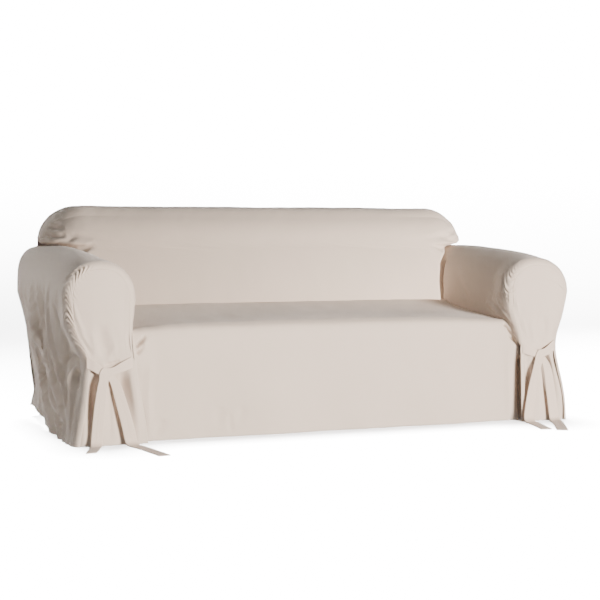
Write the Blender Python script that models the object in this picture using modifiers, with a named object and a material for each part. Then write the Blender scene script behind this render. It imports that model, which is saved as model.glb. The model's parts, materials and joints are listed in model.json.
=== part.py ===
"""A fitted slipcover of cotton duck, hanging hollow in the shape in which it is worn.

Every panel and tie is a thin closed sheet of its own. X runs along the cover's length, Y from its front to
its back and Z up. The panels are worked out in the maker's frame, where the seat's middle lies at X = 0 and
the arm fronts at Y = 0. Each object is then moved by MIDDLE_X and ARM_FRONT_Y, which puts the origin under
the middle of the whole piece.
"""

from collections import namedtuple
from functools import partial

import bmesh
import bpy
import numpy as np

# ---- Driving dimensions, in metres ----------------------------------------------------------------------
CLOTH = 0.002            # a panel with its hem and seam turnings
TIE_CLOTH = 0.0018       # a tie is the cloth folded double
SEAM = 0.0006            # left open between the edges of two panels
FACING_SEAM = 0.0014     # and between an arm panel's edge and the facing
INNER_SEAM = 0.0026      # the same on the facing's inner side, where the band is steepest
REAR_SEAM_GAP = 0.0013   # and between the outside back and the panels in front of it
MIDDLE_X = -0.018        # the seat's middle, measured from the origin
ARM_FRONT_Y = -0.315     # the arm fronts, measured from the origin

ARM_INNER = 0.775        # from the seat's middle to an arm's inner face
ARM_WIDEST = 0.515       # height at which an arm is widest
ARM_ROUND, REAR_ROUND = 2.15, 3.2         # how square an arm's top is: 2 is an ellipse
BAND = 0.031             # width of the gathered band that turns the arm's front edge
BAND_DEPTH = 0.045       # how far back that turn reaches
GATHER = 0.0028          # height of a gather on the band
FACING_SWELL = 0.012     # how far the facing stands forward of its seam
KNOT_HOLLOW = 0.010      # depth of the hollow above a knot
SEAT_CROWN = 0.010       # how much higher the seat's middle is than its sides
HEM_WAVE = 0.006         # height of the front hem's slow waves
TIE_LEVEL = 0.300        # height of the ties' upper ends
STRIP = 0.023            # hemmed return below the tie, at an arm's outer corner

REAR_SEAM = 0.885        # depth of the seam round the outside back
REAR_TURN = 0.030        # radius of the turn from there to the outside back's face
CREASE_Y, CREASE_Z = 0.5704, 0.4634      # where seat and inside back meet
TUCK_Y = 0.657           # how far back the arm's inner face runs, beside the inside back
SKIRT_Y = 0.036          # depth of the front skirt
SIDE_DROP = 0.012        # the seat lies this much lower beside the arms

EAR_HALF = 0.931         # half of the back's length over its two ends, the ears
EAR_TURN = (0.16, 0.11, 0.145)   # radii of the ears' upper corners along X, Y and Z
SPREAD = 30.0            # degrees by which the cloth spreads round the ears' corners
BACK_TOP = 0.864
FACE_SHARE = 0.78        # share of the inside back's half width that lies on its face
TURN_SHARE = 0.45        # and of the rest, the share that turns its edge beside an arm
CORNER_TURN = (0.022, 0.022)     # radii of the inside back's sides beside an arm, along X and Y
EAR_FRONT_TURN = (0.140, 0.100)  # and of the ears' fronts

# Sheets are counted in cells. The arm front shares its border cells with the arm panel.
INNER_CELLS, ARCH_CELLS, UPPER_CELLS, LOWER_CELLS = 5, 18, 5, 7
ARM_CELLS = INNER_CELLS + ARCH_CELLS + UPPER_CELLS + LOWER_CELLS
SEAM_CELLS = INNER_CELLS + ARCH_CELLS + UPPER_CELLS
BAND_ROWS, ARM_ROWS = 3, 23
FRONT_CELLS, FLAP_ROWS = 14, 8
HEAD_ROWS = (SEAM_CELLS - FRONT_CELLS) // 2
SEAT_CELLS, SEAT_ROWS = 30, 24
BACK_CELLS, FACE_ROWS, TOP_ROWS = 32, 15, 6
REAR_CELLS, REAR_UP, TURN_CELLS = 22, 12, 2
TIE_CELLS = 3

# ---- Short tables, one row for each station ---------------------------------------------------------------
Rise = namedtuple("Rise", "depth top")
ARM_TOP = (
    Rise(0.00, 0.648),
    Rise(0.05, 0.656),
    Rise(0.20, 0.677),
    Rise(0.36, 0.689),
    Rise(0.52, 0.698),
    Rise(0.90, 0.700),
)

# An arm's width: the outer and inner line of its front, the outer line at the rear corner, and the edge of
# the front skirt beside it.
Waist = namedtuple("Waist", "height outer inner rear skirt")
NEAR_WAIST = (
    Waist(0.000, 0.985, 0.712, 0.966, 0.7040),
    Waist(0.060, 0.974, 0.719, 0.962, 0.7110),
    Waist(0.140, 0.960, 0.732, 0.947, 0.7250),
    Waist(0.220, 0.951, 0.747, 0.957, 0.7410),
    Waist(0.290, 0.947, 0.758, 0.969, 0.7545),
    Waist(0.335, 0.961, 0.763, 0.976, 0.7600),
    Waist(0.380, 0.986, 0.763, 0.981, 0.7600),
    Waist(0.430, 1.004, 0.757, 0.991, 0.7540),
    Waist(0.515, 1.014, 0.748, 1.014, 0.7450),
)
FAR_WAIST = (
    Waist(0.000, 1.046, 0.828, 0.996, 0.8460),
    Waist(0.060, 1.044, 0.826, 0.994, 0.8380),
    Waist(0.140, 1.030, 0.824, 0.994, 0.8320),
    Waist(0.220, 1.008, 0.821, 0.998, 0.8280),
    Waist(0.290, 0.994, 0.816, 1.004, 0.8250),
    Waist(0.335, 0.998, 0.806, 1.010, 0.8110),
    Waist(0.380, 1.013, 0.788, 1.016, 0.7845),
    Waist(0.430, 1.031, 0.764, 1.022, 0.7610),
    Waist(0.515, 1.050, 0.748, 1.032, 0.7450),
)

# Folds that hang down an arm's outer side: where each starts and ends, its half width and its height.
Fold = namedtuple("Fold", "top_y top_z foot_y foot_z width height")
NEAR_FOLDS = (
    Fold(0.76, 0.50, 0.40, 0.05, 0.060, 0.024),
    Fold(0.82, 0.40, 0.62, 0.08, 0.060, -0.018),
    Fold(0.52, 0.49, 0.25, 0.04, 0.050, 0.022),
    Fold(0.64, 0.46, 0.38, 0.14, 0.045, -0.014),
    Fold(0.42, 0.42, 0.33, 0.10, 0.040, -0.012),
    Fold(0.34, 0.47, 0.17, 0.03, 0.042, 0.018),
    Fold(0.24, 0.36, 0.20, 0.08, 0.036, -0.012),
    Fold(0.11, 0.30, 0.10, 0.02, 0.036, 0.014),
)
FAR_FOLDS = (
    Fold(0.70, 0.48, 0.58, 0.04, 0.060, 0.016),
    Fold(0.58, 0.42, 0.46, 0.08, 0.045, -0.012),
    Fold(0.48, 0.46, 0.34, 0.05, 0.055, 0.018),
    Fold(0.28, 0.42, 0.19, 0.04, 0.045, 0.014),
    Fold(0.12, 0.28, 0.10, 0.02, 0.036, 0.012),
)

# Hollows of the flap below the ties: how far across from the outer edge, half width and depth.
Hollow = namedtuple("Hollow", "across half depth")
NEAR_HOLLOWS = (Hollow(0.13, 0.15, 0.030), Hollow(0.68, 0.20, 0.036))
FAR_HOLLOWS = (Hollow(0.30, 0.18, 0.030), Hollow(0.82, 0.12, 0.012))

# The inside back's face, seen from the side.
Lean = namedtuple("Lean", "height depth")
BACK_LEAN = (
    Lean(CREASE_Z, CREASE_Y),
    Lean(0.520, 0.5790),
    Lean(0.580, 0.5910),
    Lean(0.640, 0.6090),
    Lean(0.702, 0.6310),
    Lean(0.800, 0.6535),
    Lean(0.870, 0.6700),
)

# Half of the inside back's width on its way up, and how far its sides turn back.
Side = namedtuple("Side", "height half turn")
BACK_SIDE = (
    Side(0.460, 0.7690, 0.040),
    Side(0.550, 0.7700, 0.040),
    Side(0.600, 0.7800, 0.040),
    Side(0.640, 0.7950, 0.042),
    Side(0.660, 0.8080, 0.046),
    Side(0.680, 0.8270, 0.060),
    Side(0.690, 0.8380, 0.120),
    Side(0.699, 0.8600, 0.230),
    Side(0.705, 0.8900, 0.260),
    Side(0.709, 0.9120, 0.260),
    Side(0.716, 0.9240, 0.260),
    Side(0.735, EAR_HALF, 0.260),
    Side(0.800, EAR_HALF, 0.260),
)

# The inside back's rows on their way up, closest together under the ears.
Course = namedtuple("Course", "row height")
BACK_ROWS = (
    Course(0, CREASE_Z),
    Course(3, 0.5750),
    Course(6, 0.6650),
    Course(8, 0.6945),
    Course(10, 0.7090),
    Course(12, 0.7500),
    Course(15, 0.8640),
)

# The outside back's rows, from the hem to where its top turns forward.
REAR_ROWS = (
    Course(0, 0.0),
    Course(4, 0.360),
    Course(6, ARM_WIDEST),
    Course(8, 0.660),
    Course(9, 0.698),
    Course(10, 0.716),
    Course(12, BACK_TOP - REAR_TURN),
)

# The seat and skirt, seen from the side: a row for each station on the way to the hem.
Profile = namedtuple("Profile", "step depth height")
SEAT_PATH = (
    Profile(0.00, CREASE_Y - 0.0004, CREASE_Z - 0.0004),
    Profile(0.04, 0.5450, 0.463),
    Profile(0.16, 0.4200, 0.449),
    Profile(0.30, 0.2700, 0.434),
    Profile(0.44, 0.1200, 0.420),
    Profile(0.50, 0.0720, 0.412),
    Profile(0.54, 0.0480, 0.399),
    Profile(0.58, 0.0380, 0.378),
    Profile(0.62, SKIRT_Y, 0.345),
    Profile(0.80, 0.0380, 0.180),
    Profile(1.00, 0.0460, 0.000),
)
SEAT_TOP = SEAT_PATH[5::-1]      # its rows on the seat, from front to back

# A tie, from its sewn end to its free one. The width's direction is turned from level in the upright plane,
# and swung in the floor's plane, in degrees.
Tie = namedtuple("Tie", "x y z half turned swung")
TIES = {
    "tie_left_outer": (
        Tie(-0.9350, -0.0012, 0.2965, 0.0205, 90, 0),
        Tie(-0.9240, -0.0032, 0.2915, 0.0200, 88, 0),
        Tie(-0.9100, -0.0070, 0.284, 0.0190, 84, 0),
        Tie(-0.8940, -0.0085, 0.272, 0.0160, 80, 0),
        Tie(-0.8760, -0.0090, 0.262, 0.0120, 72, 0),
        Tie(-0.8600, -0.0090, 0.250, 0.0115, 50, 0),
        Tie(-0.8450, -0.0090, 0.236, 0.0130, 28, 0),
        Tie(-0.8330, -0.0100, 0.214, 0.0165, 12, 0),
        Tie(-0.8220, -0.0110, 0.180, 0.0190, 6, 0),
        Tie(-0.8080, -0.0120, 0.130, 0.0205, 6, 0),
        Tie(-0.7920, -0.0130, 0.070, 0.0215, 4, 0),
        Tie(-0.7820, -0.0150, 0.022, 0.0220, 0, 0),
        Tie(-0.7780, -0.0240, 0.006, 0.0220, 0, 2),
        Tie(-0.7720, -0.0500, 0.0010, 0.0220, 0, 5),
        Tie(-0.7560, -0.1400, 0.0010, 0.0220, 0, 8),
        Tie(-0.7360, -0.2900, 0.0010, 0.0215, 0, 6),
    ),
    "tie_left_inner": (
        Tie(-0.7700, -0.0007, 0.292, 0.0210, 90, 0),
        Tie(-0.7850, -0.0055, 0.288, 0.0195, 94, 0),
        Tie(-0.8120, -0.0095, 0.277, 0.0170, 98, 0),
        Tie(-0.8380, -0.0108, 0.266, 0.0140, 100, 0),
        Tie(-0.8570, -0.0114, 0.262, 0.0150, 106, 0),
        Tie(-0.8680, -0.0120, 0.262, 0.0190, 128, 0),
        Tie(-0.8735, -0.0124, 0.252, 0.0195, 158, 0),
        Tie(-0.8760, -0.0122, 0.236, 0.0175, 174, 0),
        Tie(-0.8820, -0.0115, 0.205, 0.0185, 184, 0),
        Tie(-0.8900, -0.0110, 0.150, 0.0200, 185, 0),
        Tie(-0.8970, -0.0115, 0.085, 0.0210, 184, 0),
        Tie(-0.9030, -0.0145, 0.026, 0.0215, 182, 0),
        Tie(-0.9080, -0.0270, 0.006, 0.0215, 180, 6),
        Tie(-0.9200, -0.0550, 0.0010, 0.0215, 180, 10),
        Tie(-0.9550, -0.1500, 0.0010, 0.0215, 180, 14),
    ),
    "tie_right_inner": (
        Tie(0.8250, -0.0026, 0.293, 0.0185, 90, 0),
        Tie(0.8430, -0.0065, 0.286, 0.0175, 86, 0),
        Tie(0.8670, -0.0085, 0.277, 0.0160, 82, 0),
        Tie(0.8890, -0.0090, 0.270, 0.0125, 72, 0),
        Tie(0.9060, -0.0090, 0.258, 0.0115, 50, 0),
        Tie(0.9210, -0.0100, 0.242, 0.0130, 28, 0),
        Tie(0.9330, -0.0105, 0.216, 0.0165, 14, 0),
        Tie(0.9420, -0.0110, 0.180, 0.0190, 10, 0),
        Tie(0.9500, -0.0125, 0.125, 0.0205, 6, 0),
        Tie(0.9590, -0.0145, 0.065, 0.0215, 4, 0),
        Tie(0.9640, -0.0170, 0.022, 0.0220, 0, 0),
        Tie(0.9630, -0.0270, 0.006, 0.0220, 0, -6),
        Tie(0.9530, -0.0550, 0.0010, 0.0220, 0, -18),
        Tie(0.9060, -0.1500, 0.0010, 0.0220, 0, -28),
        Tie(0.8400, -0.2720, 0.0010, 0.0220, 0, -34),
    ),
    "tie_right_outer": (
        Tie(0.9740, -0.0004, 0.303, 0.0215, 90, 0),
        Tie(0.9570, -0.0060, 0.295, 0.0195, 96, 0),
        Tie(0.9350, -0.0104, 0.282, 0.0165, 100, 0),
        Tie(0.9170, -0.0114, 0.274, 0.0150, 106, 0),
        Tie(0.9050, -0.0120, 0.271, 0.0185, 128, 0),
        Tie(0.8985, -0.0124, 0.261, 0.0185, 158, 0),
        Tie(0.8940, -0.0122, 0.245, 0.0175, 176, 0),
        Tie(0.8860, -0.0116, 0.212, 0.0190, 188, 0),
        Tie(0.8720, -0.0110, 0.155, 0.0205, 190, 0),
        Tie(0.8590, -0.0120, 0.090, 0.0215, 188, 0),
        Tie(0.8490, -0.0150, 0.028, 0.0215, 184, 0),
        Tie(0.8460, -0.0280, 0.006, 0.0215, 180, -4),
        Tie(0.8420, -0.0560, 0.0010, 0.0215, 180, -8),
        Tie(0.8210, -0.1400, 0.0010, 0.0215, 180, -12),
        Tie(0.7950, -0.2300, 0.0010, 0.0215, 180, -14),
    ),
}

# What tells the two arms apart. Side is -1 for the left arm in the front view and 1 for the right one. Outer
# and foot are the outer line's widest and lowest distance from the middle, and the hem rises to rear_hem.
Arm = namedtuple("Arm", "word side outer foot rear_hem waist folds hollows")
ARMS = (
    Arm("left", -1, 1.014, 0.980, 0.050, NEAR_WAIST, NEAR_FOLDS, NEAR_HOLLOWS),
    Arm("right", 1, 1.038, 1.006, 0.012, FAR_WAIST, FAR_FOLDS, FAR_HOLLOWS),
)

DUCK = (0.62, 0.56, 0.50)        # natural cotton duck
TAPE = (0.66, 0.59, 0.53)        # the ties, a little lighter
ROUGHNESS = 0.92


# ---- Curves and ramps -------------------------------------------------------------------------------------
def line(low, high, value):
    """0 at low and 1 at high, straight between them."""
    return np.clip((value - low) / (high - low), 0.0, 1.0)


def ramp(low, high, value):
    """0 at low and 1 at high, with an S-shaped way between."""
    share = line(low, high, value)
    return share * share * (3.0 - 2.0 * share)


def mound(middle, half, value):
    """1 at the middle, falling softly to 0 at half to either side."""
    share = np.clip(np.abs(value - middle) / half, 0.0, 1.0)
    return (1.0 - share * share) ** 2


def mix(first, second, share):
    return first * (1.0 - share) + second * share


def read(table, key, column, at):
    """One column of a table as a smooth curve through its rows, read at the given keys."""
    keys = np.array([getattr(row, key) for row in table])
    values = np.array([getattr(row, column) for row in table])
    slopes = np.gradient(values, keys)
    at = np.clip(at, keys[0], keys[-1])
    row = np.clip(np.searchsorted(keys, at) - 1, 0, len(keys) - 2)
    step = keys[row + 1] - keys[row]
    share = (at - keys[row]) / step
    rest = 1.0 - share
    return (
        values[row] * rest * rest * (1.0 + 2.0 * share)
        + values[row + 1] * share * share * (3.0 - 2.0 * share)
        + slopes[row] * step * share * rest * rest
        - slopes[row + 1] * step * share * share * rest
    )


# ---- The arm panel ----------------------------------------------------------------------------------------
def hem_height(arm, depth):
    """The side hem rides up towards the rear corner."""
    return arm.rear_hem * ramp(0.25, 0.88, depth)


def outer_line(arm, depth, height):
    """Distance from the middle to the arm's outer side, with its hanging folds."""
    drawn = read(arm.waist, "height", "outer", height)
    hang = mix(arm.foot, arm.outer, ramp(0.05, ARM_WIDEST, height))
    rear = read(arm.waist, "height", "rear", height)
    out = mix(drawn, hang, ramp(0.04, 0.22, depth))
    out = mix(out, rear, ramp(0.45, 0.88, depth))
    for fold in arm.folds:
        down = (fold.top_z - height) / (fold.top_z - fold.foot_z)
        middle = mix(fold.top_y, fold.foot_y, down)
        fade = ramp(0.0, 0.35, down) * (1.0 - 0.5 * ramp(0.7, 1.1, down))
        out = out + fold.height * fade * mound(middle, fold.width, depth)
    return out


def inner_line(arm, depth, height):
    """Distance from the middle to the arm's inner face: its front swells towards the seat."""
    drawn = read(arm.waist, "height", "inner", height)
    return mix(drawn, ARM_INNER, ramp(0.04, 0.16, depth))


def arch(arm, depth):
    """Middle, half width and height of the round top at a depth."""
    inner = inner_line(arm, depth, ARM_WIDEST)
    outer = outer_line(arm, depth, ARM_WIDEST)
    return (inner + outer) / 2, (outer - inner) / 2, read(ARM_TOP, "depth", "top", depth) - ARM_WIDEST


def on_seat(depth):
    """1 over most of the seat, 0 at its front edge and at the crease."""
    return ramp(0.04, 0.12, depth) * (1.0 - ramp(0.48, 0.57, depth))


def seat_side(depth):
    """Height of the seat where it meets an arm."""
    return read(SEAT_TOP, "depth", "height", depth) - SIDE_DROP * on_seat(depth)


def arm_section(arm, cell, depth, foot_depth):
    """The arm's section at a depth: from the inner foot, over the top, to the outer hem."""
    in_band = TIE_LEVEL + 0.004
    foot = mix(in_band, seat_side(foot_depth) - CLOTH, ramp(0.0, 0.060, foot_depth))
    inner_z = mix(foot, ARM_WIDEST, line(0, INNER_CELLS, cell))
    inner_x = inner_line(arm, depth, inner_z)

    middle, half, crown = arch(arm, depth)
    angle = np.pi * (1.0 - line(INNER_CELLS, INNER_CELLS + ARCH_CELLS, cell))
    cosine, sine = np.cos(angle), np.sin(angle)
    squarer = mix(ARM_ROUND, REAR_ROUND, ramp(0.35, 0.88, depth))
    power = 2.0 / np.where(cosine > 0, squarer, ARM_ROUND)
    arch_x = middle + half * np.sign(cosine) * np.abs(cosine) ** power
    arch_z = ARM_WIDEST + crown * np.abs(sine) ** power

    outer_z = mix(ARM_WIDEST, TIE_LEVEL, line(INNER_CELLS + ARCH_CELLS, SEAM_CELLS, cell))
    outer_z = mix(outer_z, hem_height(arm, depth), line(SEAM_CELLS, ARM_CELLS, cell))
    outer_x = outer_line(arm, depth, outer_z)

    on_inner, on_outer = cell <= INNER_CELLS, cell >= INNER_CELLS + ARCH_CELLS
    out = np.where(on_inner, inner_x, np.where(on_outer, outer_x, arch_x))
    height = np.where(on_inner, inner_z, np.where(on_outer, outer_z, arch_z))
    return out, height


def band_width(cell):
    """The band is widest round the head, narrow at the inner tie, and a strip below the outer one."""
    wide = mix(0.006, BAND, ramp(-1.0, INNER_CELLS, cell))
    return mix(wide, STRIP, ramp(SEAM_CELLS - 4, SEAM_CELLS, cell))


def arm_panel(arm, cell, row):
    """The whole panel: its first rows turn the front edge, and the rest runs to the rear."""
    turn = np.radians(90.0) * line(0, BAND_ROWS, row)
    back = line(BAND_ROWS, ARM_ROWS, row)
    back = mix(back, back * back, 0.25)
    end = mix(TUCK_Y, REAR_SEAM - SEAM / 2, ramp(INNER_CELLS, INNER_CELLS + 8, cell))
    depth = mix(BAND_DEPTH, end, back)

    turned_depth = depth - BAND_DEPTH * np.cos(turn)
    near = 0.05
    out, height = arm_section(arm, cell, depth, turned_depth)
    out_ahead, height_ahead = arm_section(arm, cell + near, depth, turned_depth)
    out_behind, height_behind = arm_section(arm, cell - near, depth, turned_depth)
    run = np.hypot(out_ahead - out_behind, height_ahead - height_behind) + 1e-9
    normal_out = (height_behind - height_ahead) / run
    normal_up = (out_ahead - out_behind) / run

    gathered = ramp(2.0, 6.0, cell) * (1.0 - ramp(SEAM_CELLS - 3, SEAM_CELLS, cell))
    uneven = 1.0 + 0.35 * np.sin(1.7 * cell + arm.side)
    reach = np.sin(turn) ** 2 * (1.0 - ramp(BAND_DEPTH, 0.13, depth))
    gathers = GATHER * gathered * uneven * reach * np.cos(np.pi * cell)
    inset = band_width(cell) * (1.0 - np.sin(turn)) - gathers
    out = out - inset * normal_out
    height = height - inset * normal_up
    height = np.where(cell >= ARM_CELLS, hem_height(arm, turned_depth), height)
    return np.stack([arm.side * out, turned_depth, height], axis=-1)


# ---- The arm front ----------------------------------------------------------------------------------------
def seam(arm, cell):
    """The line of the seam round the arm front, just inside the arm panel's edge."""
    edge, ahead, behind = (arm_panel(arm, cell + by, np.zeros_like(cell)) for by in (0.0, 0.5, -0.5))
    along = ahead - behind
    along = along / (np.hypot(along[..., 0], along[..., 2])[..., None] + 1e-9)
    gap = mix(INNER_SEAM, FACING_SEAM, ramp(INNER_CELLS, INNER_CELLS + 4, cell))
    edge[..., 0] += gap * arm.side * along[..., 2]
    edge[..., 2] -= gap * arm.side * along[..., 0]
    return edge


def arm_front(arm, cell, row):
    """The rounded facing above the tie, as one sheet with the loose flap below it."""
    across = cell / FRONT_CELLS
    up = line(FLAP_ROWS, FLAP_ROWS + HEAD_ROWS, row)
    a, u = across[..., None], up[..., None]

    # The facing is stretched between the four stretches of its border.
    outer = seam(arm, SEAM_CELLS - HEAD_ROWS * up)
    inner = seam(arm, HEAD_ROWS * up)
    top = seam(arm, SEAM_CELLS - HEAD_ROWS - FRONT_CELLS * across)
    outer_foot, inner_foot = seam(arm, np.full_like(up, SEAM_CELLS)), seam(arm, np.zeros_like(up))
    outer_top = seam(arm, np.full_like(up, SEAM_CELLS - HEAD_ROWS))
    inner_top = seam(arm, np.full_like(up, HEAD_ROWS))
    foot = mix(outer_foot, inner_foot, a)
    head = mix(foot, top, u) + mix(outer, inner, a) - mix(foot, mix(outer_top, inner_top, a), u)
    swell = 16.0 * across * (1.0 - across) * up * (1.0 - up)
    head[..., 1] -= FACING_SWELL * np.sqrt(np.maximum(swell, 0.0))
    head[..., 1] += KNOT_HOLLOW * mound(0.45, 0.20, across) * mound(0.0, 0.45, up) * ramp(0.0, 0.1, up)

    # The flap's outer edge slips behind the arm panel's strip, and its inner edge is free.
    down = 1.0 - line(0, FLAP_ROWS, row)
    height = TIE_LEVEL * (1.0 - down)
    outer_edge = read(arm.waist, "height", "outer", height) - STRIP
    outer_edge = outer_edge - mix(0.003, -0.007, ramp(0.13, 0.30, down))
    inner_edge = read(arm.waist, "height", "inner", height)
    hollow = sum(each.depth * mound(each.across, each.half, across) for each in arm.hollows)
    behind = 0.012 * (1.0 - ramp(0.0, 0.10, across))
    depth = ramp(0.0, 0.30, down) * (0.004 + hollow + behind)
    flap = np.stack([arm.side * mix(outer_edge, inner_edge, across), depth, height], axis=-1)
    return np.where((row >= FLAP_ROWS)[..., None], head, flap)


# ---- The seat and skirt -----------------------------------------------------------------------------------
def skirt_edge(arm, depth, height):
    """The panel's side edge: along the arm's inner face, then down to the hem beside the arm front."""
    beside = inner_line(arm, depth, seat_side(np.maximum(depth, 0.072))) - SEAM
    front = read(arm.waist, "height", "skirt", height)
    return mix(front, beside, ramp(0.040, 0.075, depth))


def seat_and_skirt(cell, row):
    across, along = cell / SEAT_CELLS, row / SEAT_ROWS
    depth = read(SEAT_PATH, "step", "depth", along)
    height = read(SEAT_PATH, "step", "height", along)
    x = mix(-skirt_edge(ARMS[0], depth, height), skirt_edge(ARMS[1], depth, height), across)

    crowned = 1.0 - (2.0 * across - 1.0) ** 4
    height = height - SIDE_DROP * on_seat(depth) * (1.0 - crowned)
    height = height + SEAT_CROWN * crowned * (0.5 + 0.5 * ramp(0.0, 0.2, along)) * (1.0 - ramp(0.56, 0.9, along))
    sat = mound(-0.35, 0.40, x) + mound(0.38, 0.38, x)
    height = height - 0.005 * sat * mound(0.26, 0.22, along)

    waves = np.sin(9.5 * x + 0.6) + 0.6 * np.sin(17.0 * x + 2.0)
    depth = depth + ramp(0.62, 1.0, along) * (0.004 + HEM_WAVE * waves)
    corners = mound(0.0, 0.06, across) + mound(1.0, 0.06, across)
    depth = depth - 0.010 * corners * mound(0.31, 0.09, height) * ramp(0.5, 0.6, along)
    height = np.where(row >= SEAT_ROWS, 0.0, height)
    return np.stack([x, depth, height], axis=-1)


# ---- The inside back --------------------------------------------------------------------------------------
def rounded(point, core, radii):
    """A point of a sharp box, drawn to the same box with rounded edges. Core is its nearest point inside."""
    offset = [(p - c) / r for p, c, r in zip(point, core, radii)]
    size = np.sqrt(sum(each * each for each in offset)) + 1e-9
    return [c + r * each / size for c, r, each in zip(core, radii, offset)]


def beside_arms(wrap, face, height):
    """Lower part of the inside back: a flat face whose sides turn back beside the arms."""
    half = read(BACK_SIDE, "height", "half", height)
    turn = read(BACK_SIDE, "height", "turn", height)
    front = read(BACK_LEAN, "height", "depth", height)
    as_ear = ramp(0.66, 0.71, height)
    turn_x, turn_y = (mix(low, ear, as_ear) for low, ear in zip(CORNER_TURN, EAR_FRONT_TURN))
    angle = np.radians(90.0) * line(0.0, TURN_SHARE, wrap)
    reach = np.minimum(turn, REAR_SEAM - SEAM / 2 - front)
    x = face * (half - turn_x) + turn_x * np.sin(angle)
    y = front + turn_y * (1.0 - np.cos(angle)) + np.maximum(reach - turn_y, 0.001) * line(TURN_SHARE, 1.0, wrap)
    return x, y, height


def over_ears(wrap, face, height, back):
    """Upper part: a box with rounded edges. Beyond its corner the cloth is spread round the upper edge."""
    rx, ry, rz = EAR_TURN
    core_x, core_z = EAR_HALF - rx, BACK_TOP - rz
    spread_side, spread_top = SPREAD * ramp(0.0, 0.6, wrap), SPREAD * ramp(0.0, 0.6, back)
    low, high = np.tan(np.radians(45.0 - spread_side)), np.tan(np.radians(45.0 - spread_top))
    x = EAR_HALF * np.where(wrap > 0, 1.0, face)
    x = np.where((back > 0) & (x > core_x), core_x + (x - core_x) * high, x)
    z = np.where((wrap > 0) & (height > core_z), core_z + (height - core_z) * low, height)

    most, least = np.maximum(wrap, back), np.minimum(wrap, back)
    half_way = 0.5 * least / (most + 1e-9)
    slant = np.where(wrap >= back, half_way, 1.0 - half_way)
    lean = np.radians(mix(45.0 - spread_side, 45.0 + spread_top, slant))
    larger = np.maximum(np.cos(lean), np.sin(lean))
    corner = (wrap > 0) & (back > 0)
    x = np.where(corner, core_x + rx * np.cos(lean) / larger, x)
    z = np.where(corner, core_z + rz * np.sin(lean) / larger, z)
    front = read(BACK_LEAN, "height", "depth", z)
    y = mix(front, REAR_SEAM - SEAM / 2, most)
    core = (np.minimum(x, core_x), np.maximum(y, front + ry), np.minimum(z, core_z))
    return rounded((x, y, z), core, EAR_TURN)


def inside_back(cell, row):
    """Face and top of the back. Its outer cells turn back beside the arms, and round the two ears."""
    across = 2.0 * cell / BACK_CELLS - 1.0
    wrap = line(FACE_SHARE, 1.0, np.abs(across))
    face = line(0.0, FACE_SHARE, np.abs(across))
    height = read(BACK_ROWS, "row", "height", row)
    back = line(FACE_ROWS, FACE_ROWS + TOP_ROWS, row)
    lower = beside_arms(wrap, face, np.minimum(height, 0.80))
    upper = over_ears(wrap, face, height, back)
    x, y, z = (mix(low, high, ramp(0.710, 0.775, height)) for low, high in zip(lower, upper))
    return np.stack([np.sign(across) * x, y, z], axis=-1)


# ---- The outside back -------------------------------------------------------------------------------------
def rear_outline(arm, height):
    """Half width of the cover at its rear: the arm's outer side, its round top, then the ear."""
    middle, half, crown = arch(arm, np.full_like(height, REAR_SEAM))
    rest = 1.0 - line(0.0, 1.0, (height - ARM_WIDEST) / crown) ** REAR_ROUND
    over = middle + half * rest ** (1 / REAR_ROUND)
    rx, _, rz = EAR_TURN
    lift = line(BACK_TOP - rz, BACK_TOP, height)
    ear = EAR_HALF - rx + rx * np.sqrt(1.0 - lift * lift)
    hanging = outer_line(arm, np.full_like(height, REAR_SEAM), height)
    return np.where(height < ARM_WIDEST, hanging, np.where(height < 0.70, np.maximum(over, ear), ear))


def outside_back(cell, row):
    """A flat panel whose sides and top turn forward to meet the other panels."""
    over_turn = np.radians(90.0) * line(REAR_UP, REAR_UP + TURN_CELLS, row)
    height = read(REAR_ROWS, "row", "height", row) + REAR_TURN * np.sin(over_turn)
    across = line(TURN_CELLS, REAR_CELLS - TURN_CELLS, cell) * 2.0 - 1.0
    from_side = np.minimum(cell, REAR_CELLS - cell)
    side_turn = np.radians(90.0) * (1.0 - line(0, TURN_CELLS, from_side))

    left, right = (rear_outline(arm, height) - REAR_TURN for arm in ARMS)
    x = mix(-left, right, (across + 1.0) / 2)
    x = x + np.sign(cell - REAR_CELLS / 2) * REAR_TURN * np.sin(side_turn)
    y = REAR_SEAM - SEAM / 2 + REAR_SEAM_GAP + REAR_TURN * np.cos(side_turn) * np.cos(over_turn)
    y = y + 0.006 * np.sin(5.0 * x + 1.0) * (1.0 - ramp(0.1, 0.7, height)) * np.cos(side_turn)
    hem = np.where(cell < REAR_CELLS / 2, ARMS[0].rear_hem, ARMS[1].rear_hem) * ramp(0.35, 0.95, np.abs(across))
    z = mix(hem, height, line(0.0, 0.30, height)) * (height < 0.30) + height * (height >= 0.30)
    return np.stack([x, y, z], axis=-1)


# ---- The ties ---------------------------------------------------------------------------------------------
Numbered = namedtuple("Numbered", ("row", *Tie._fields))


def tie(stations, cell, row):
    """The strip through a tie's stations. It never dips into the surface that its free end lies on."""
    table = [Numbered(index, *station) for index, station in enumerate(stations)]
    x, y, z, half, turned, swung = (read(table, "row", column, row) for column in Tie._fields)
    turned, swung = np.radians(turned), np.radians(swung)
    side = (2.0 * cell / TIE_CELLS - 1.0) * half
    x = x + side * np.cos(turned) * np.cos(swung)
    y = y + side * np.cos(turned) * np.sin(swung)
    z = np.maximum(z + side * np.sin(turned), TIE_CLOTH)
    return np.stack([x, y, z], axis=-1)


# ---- Making the objects -----------------------------------------------------------------------------------
def material(name, colour):
    made = bpy.data.materials.new(name)
    made.use_nodes = True
    shader = made.node_tree.nodes["Principled BSDF"]
    shader.inputs["Base Color"].default_value = (*colour, 1.0)
    shader.inputs["Roughness"].default_value = ROUGHNESS
    shader.inputs["Metallic"].default_value = 0.0
    return made


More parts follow.
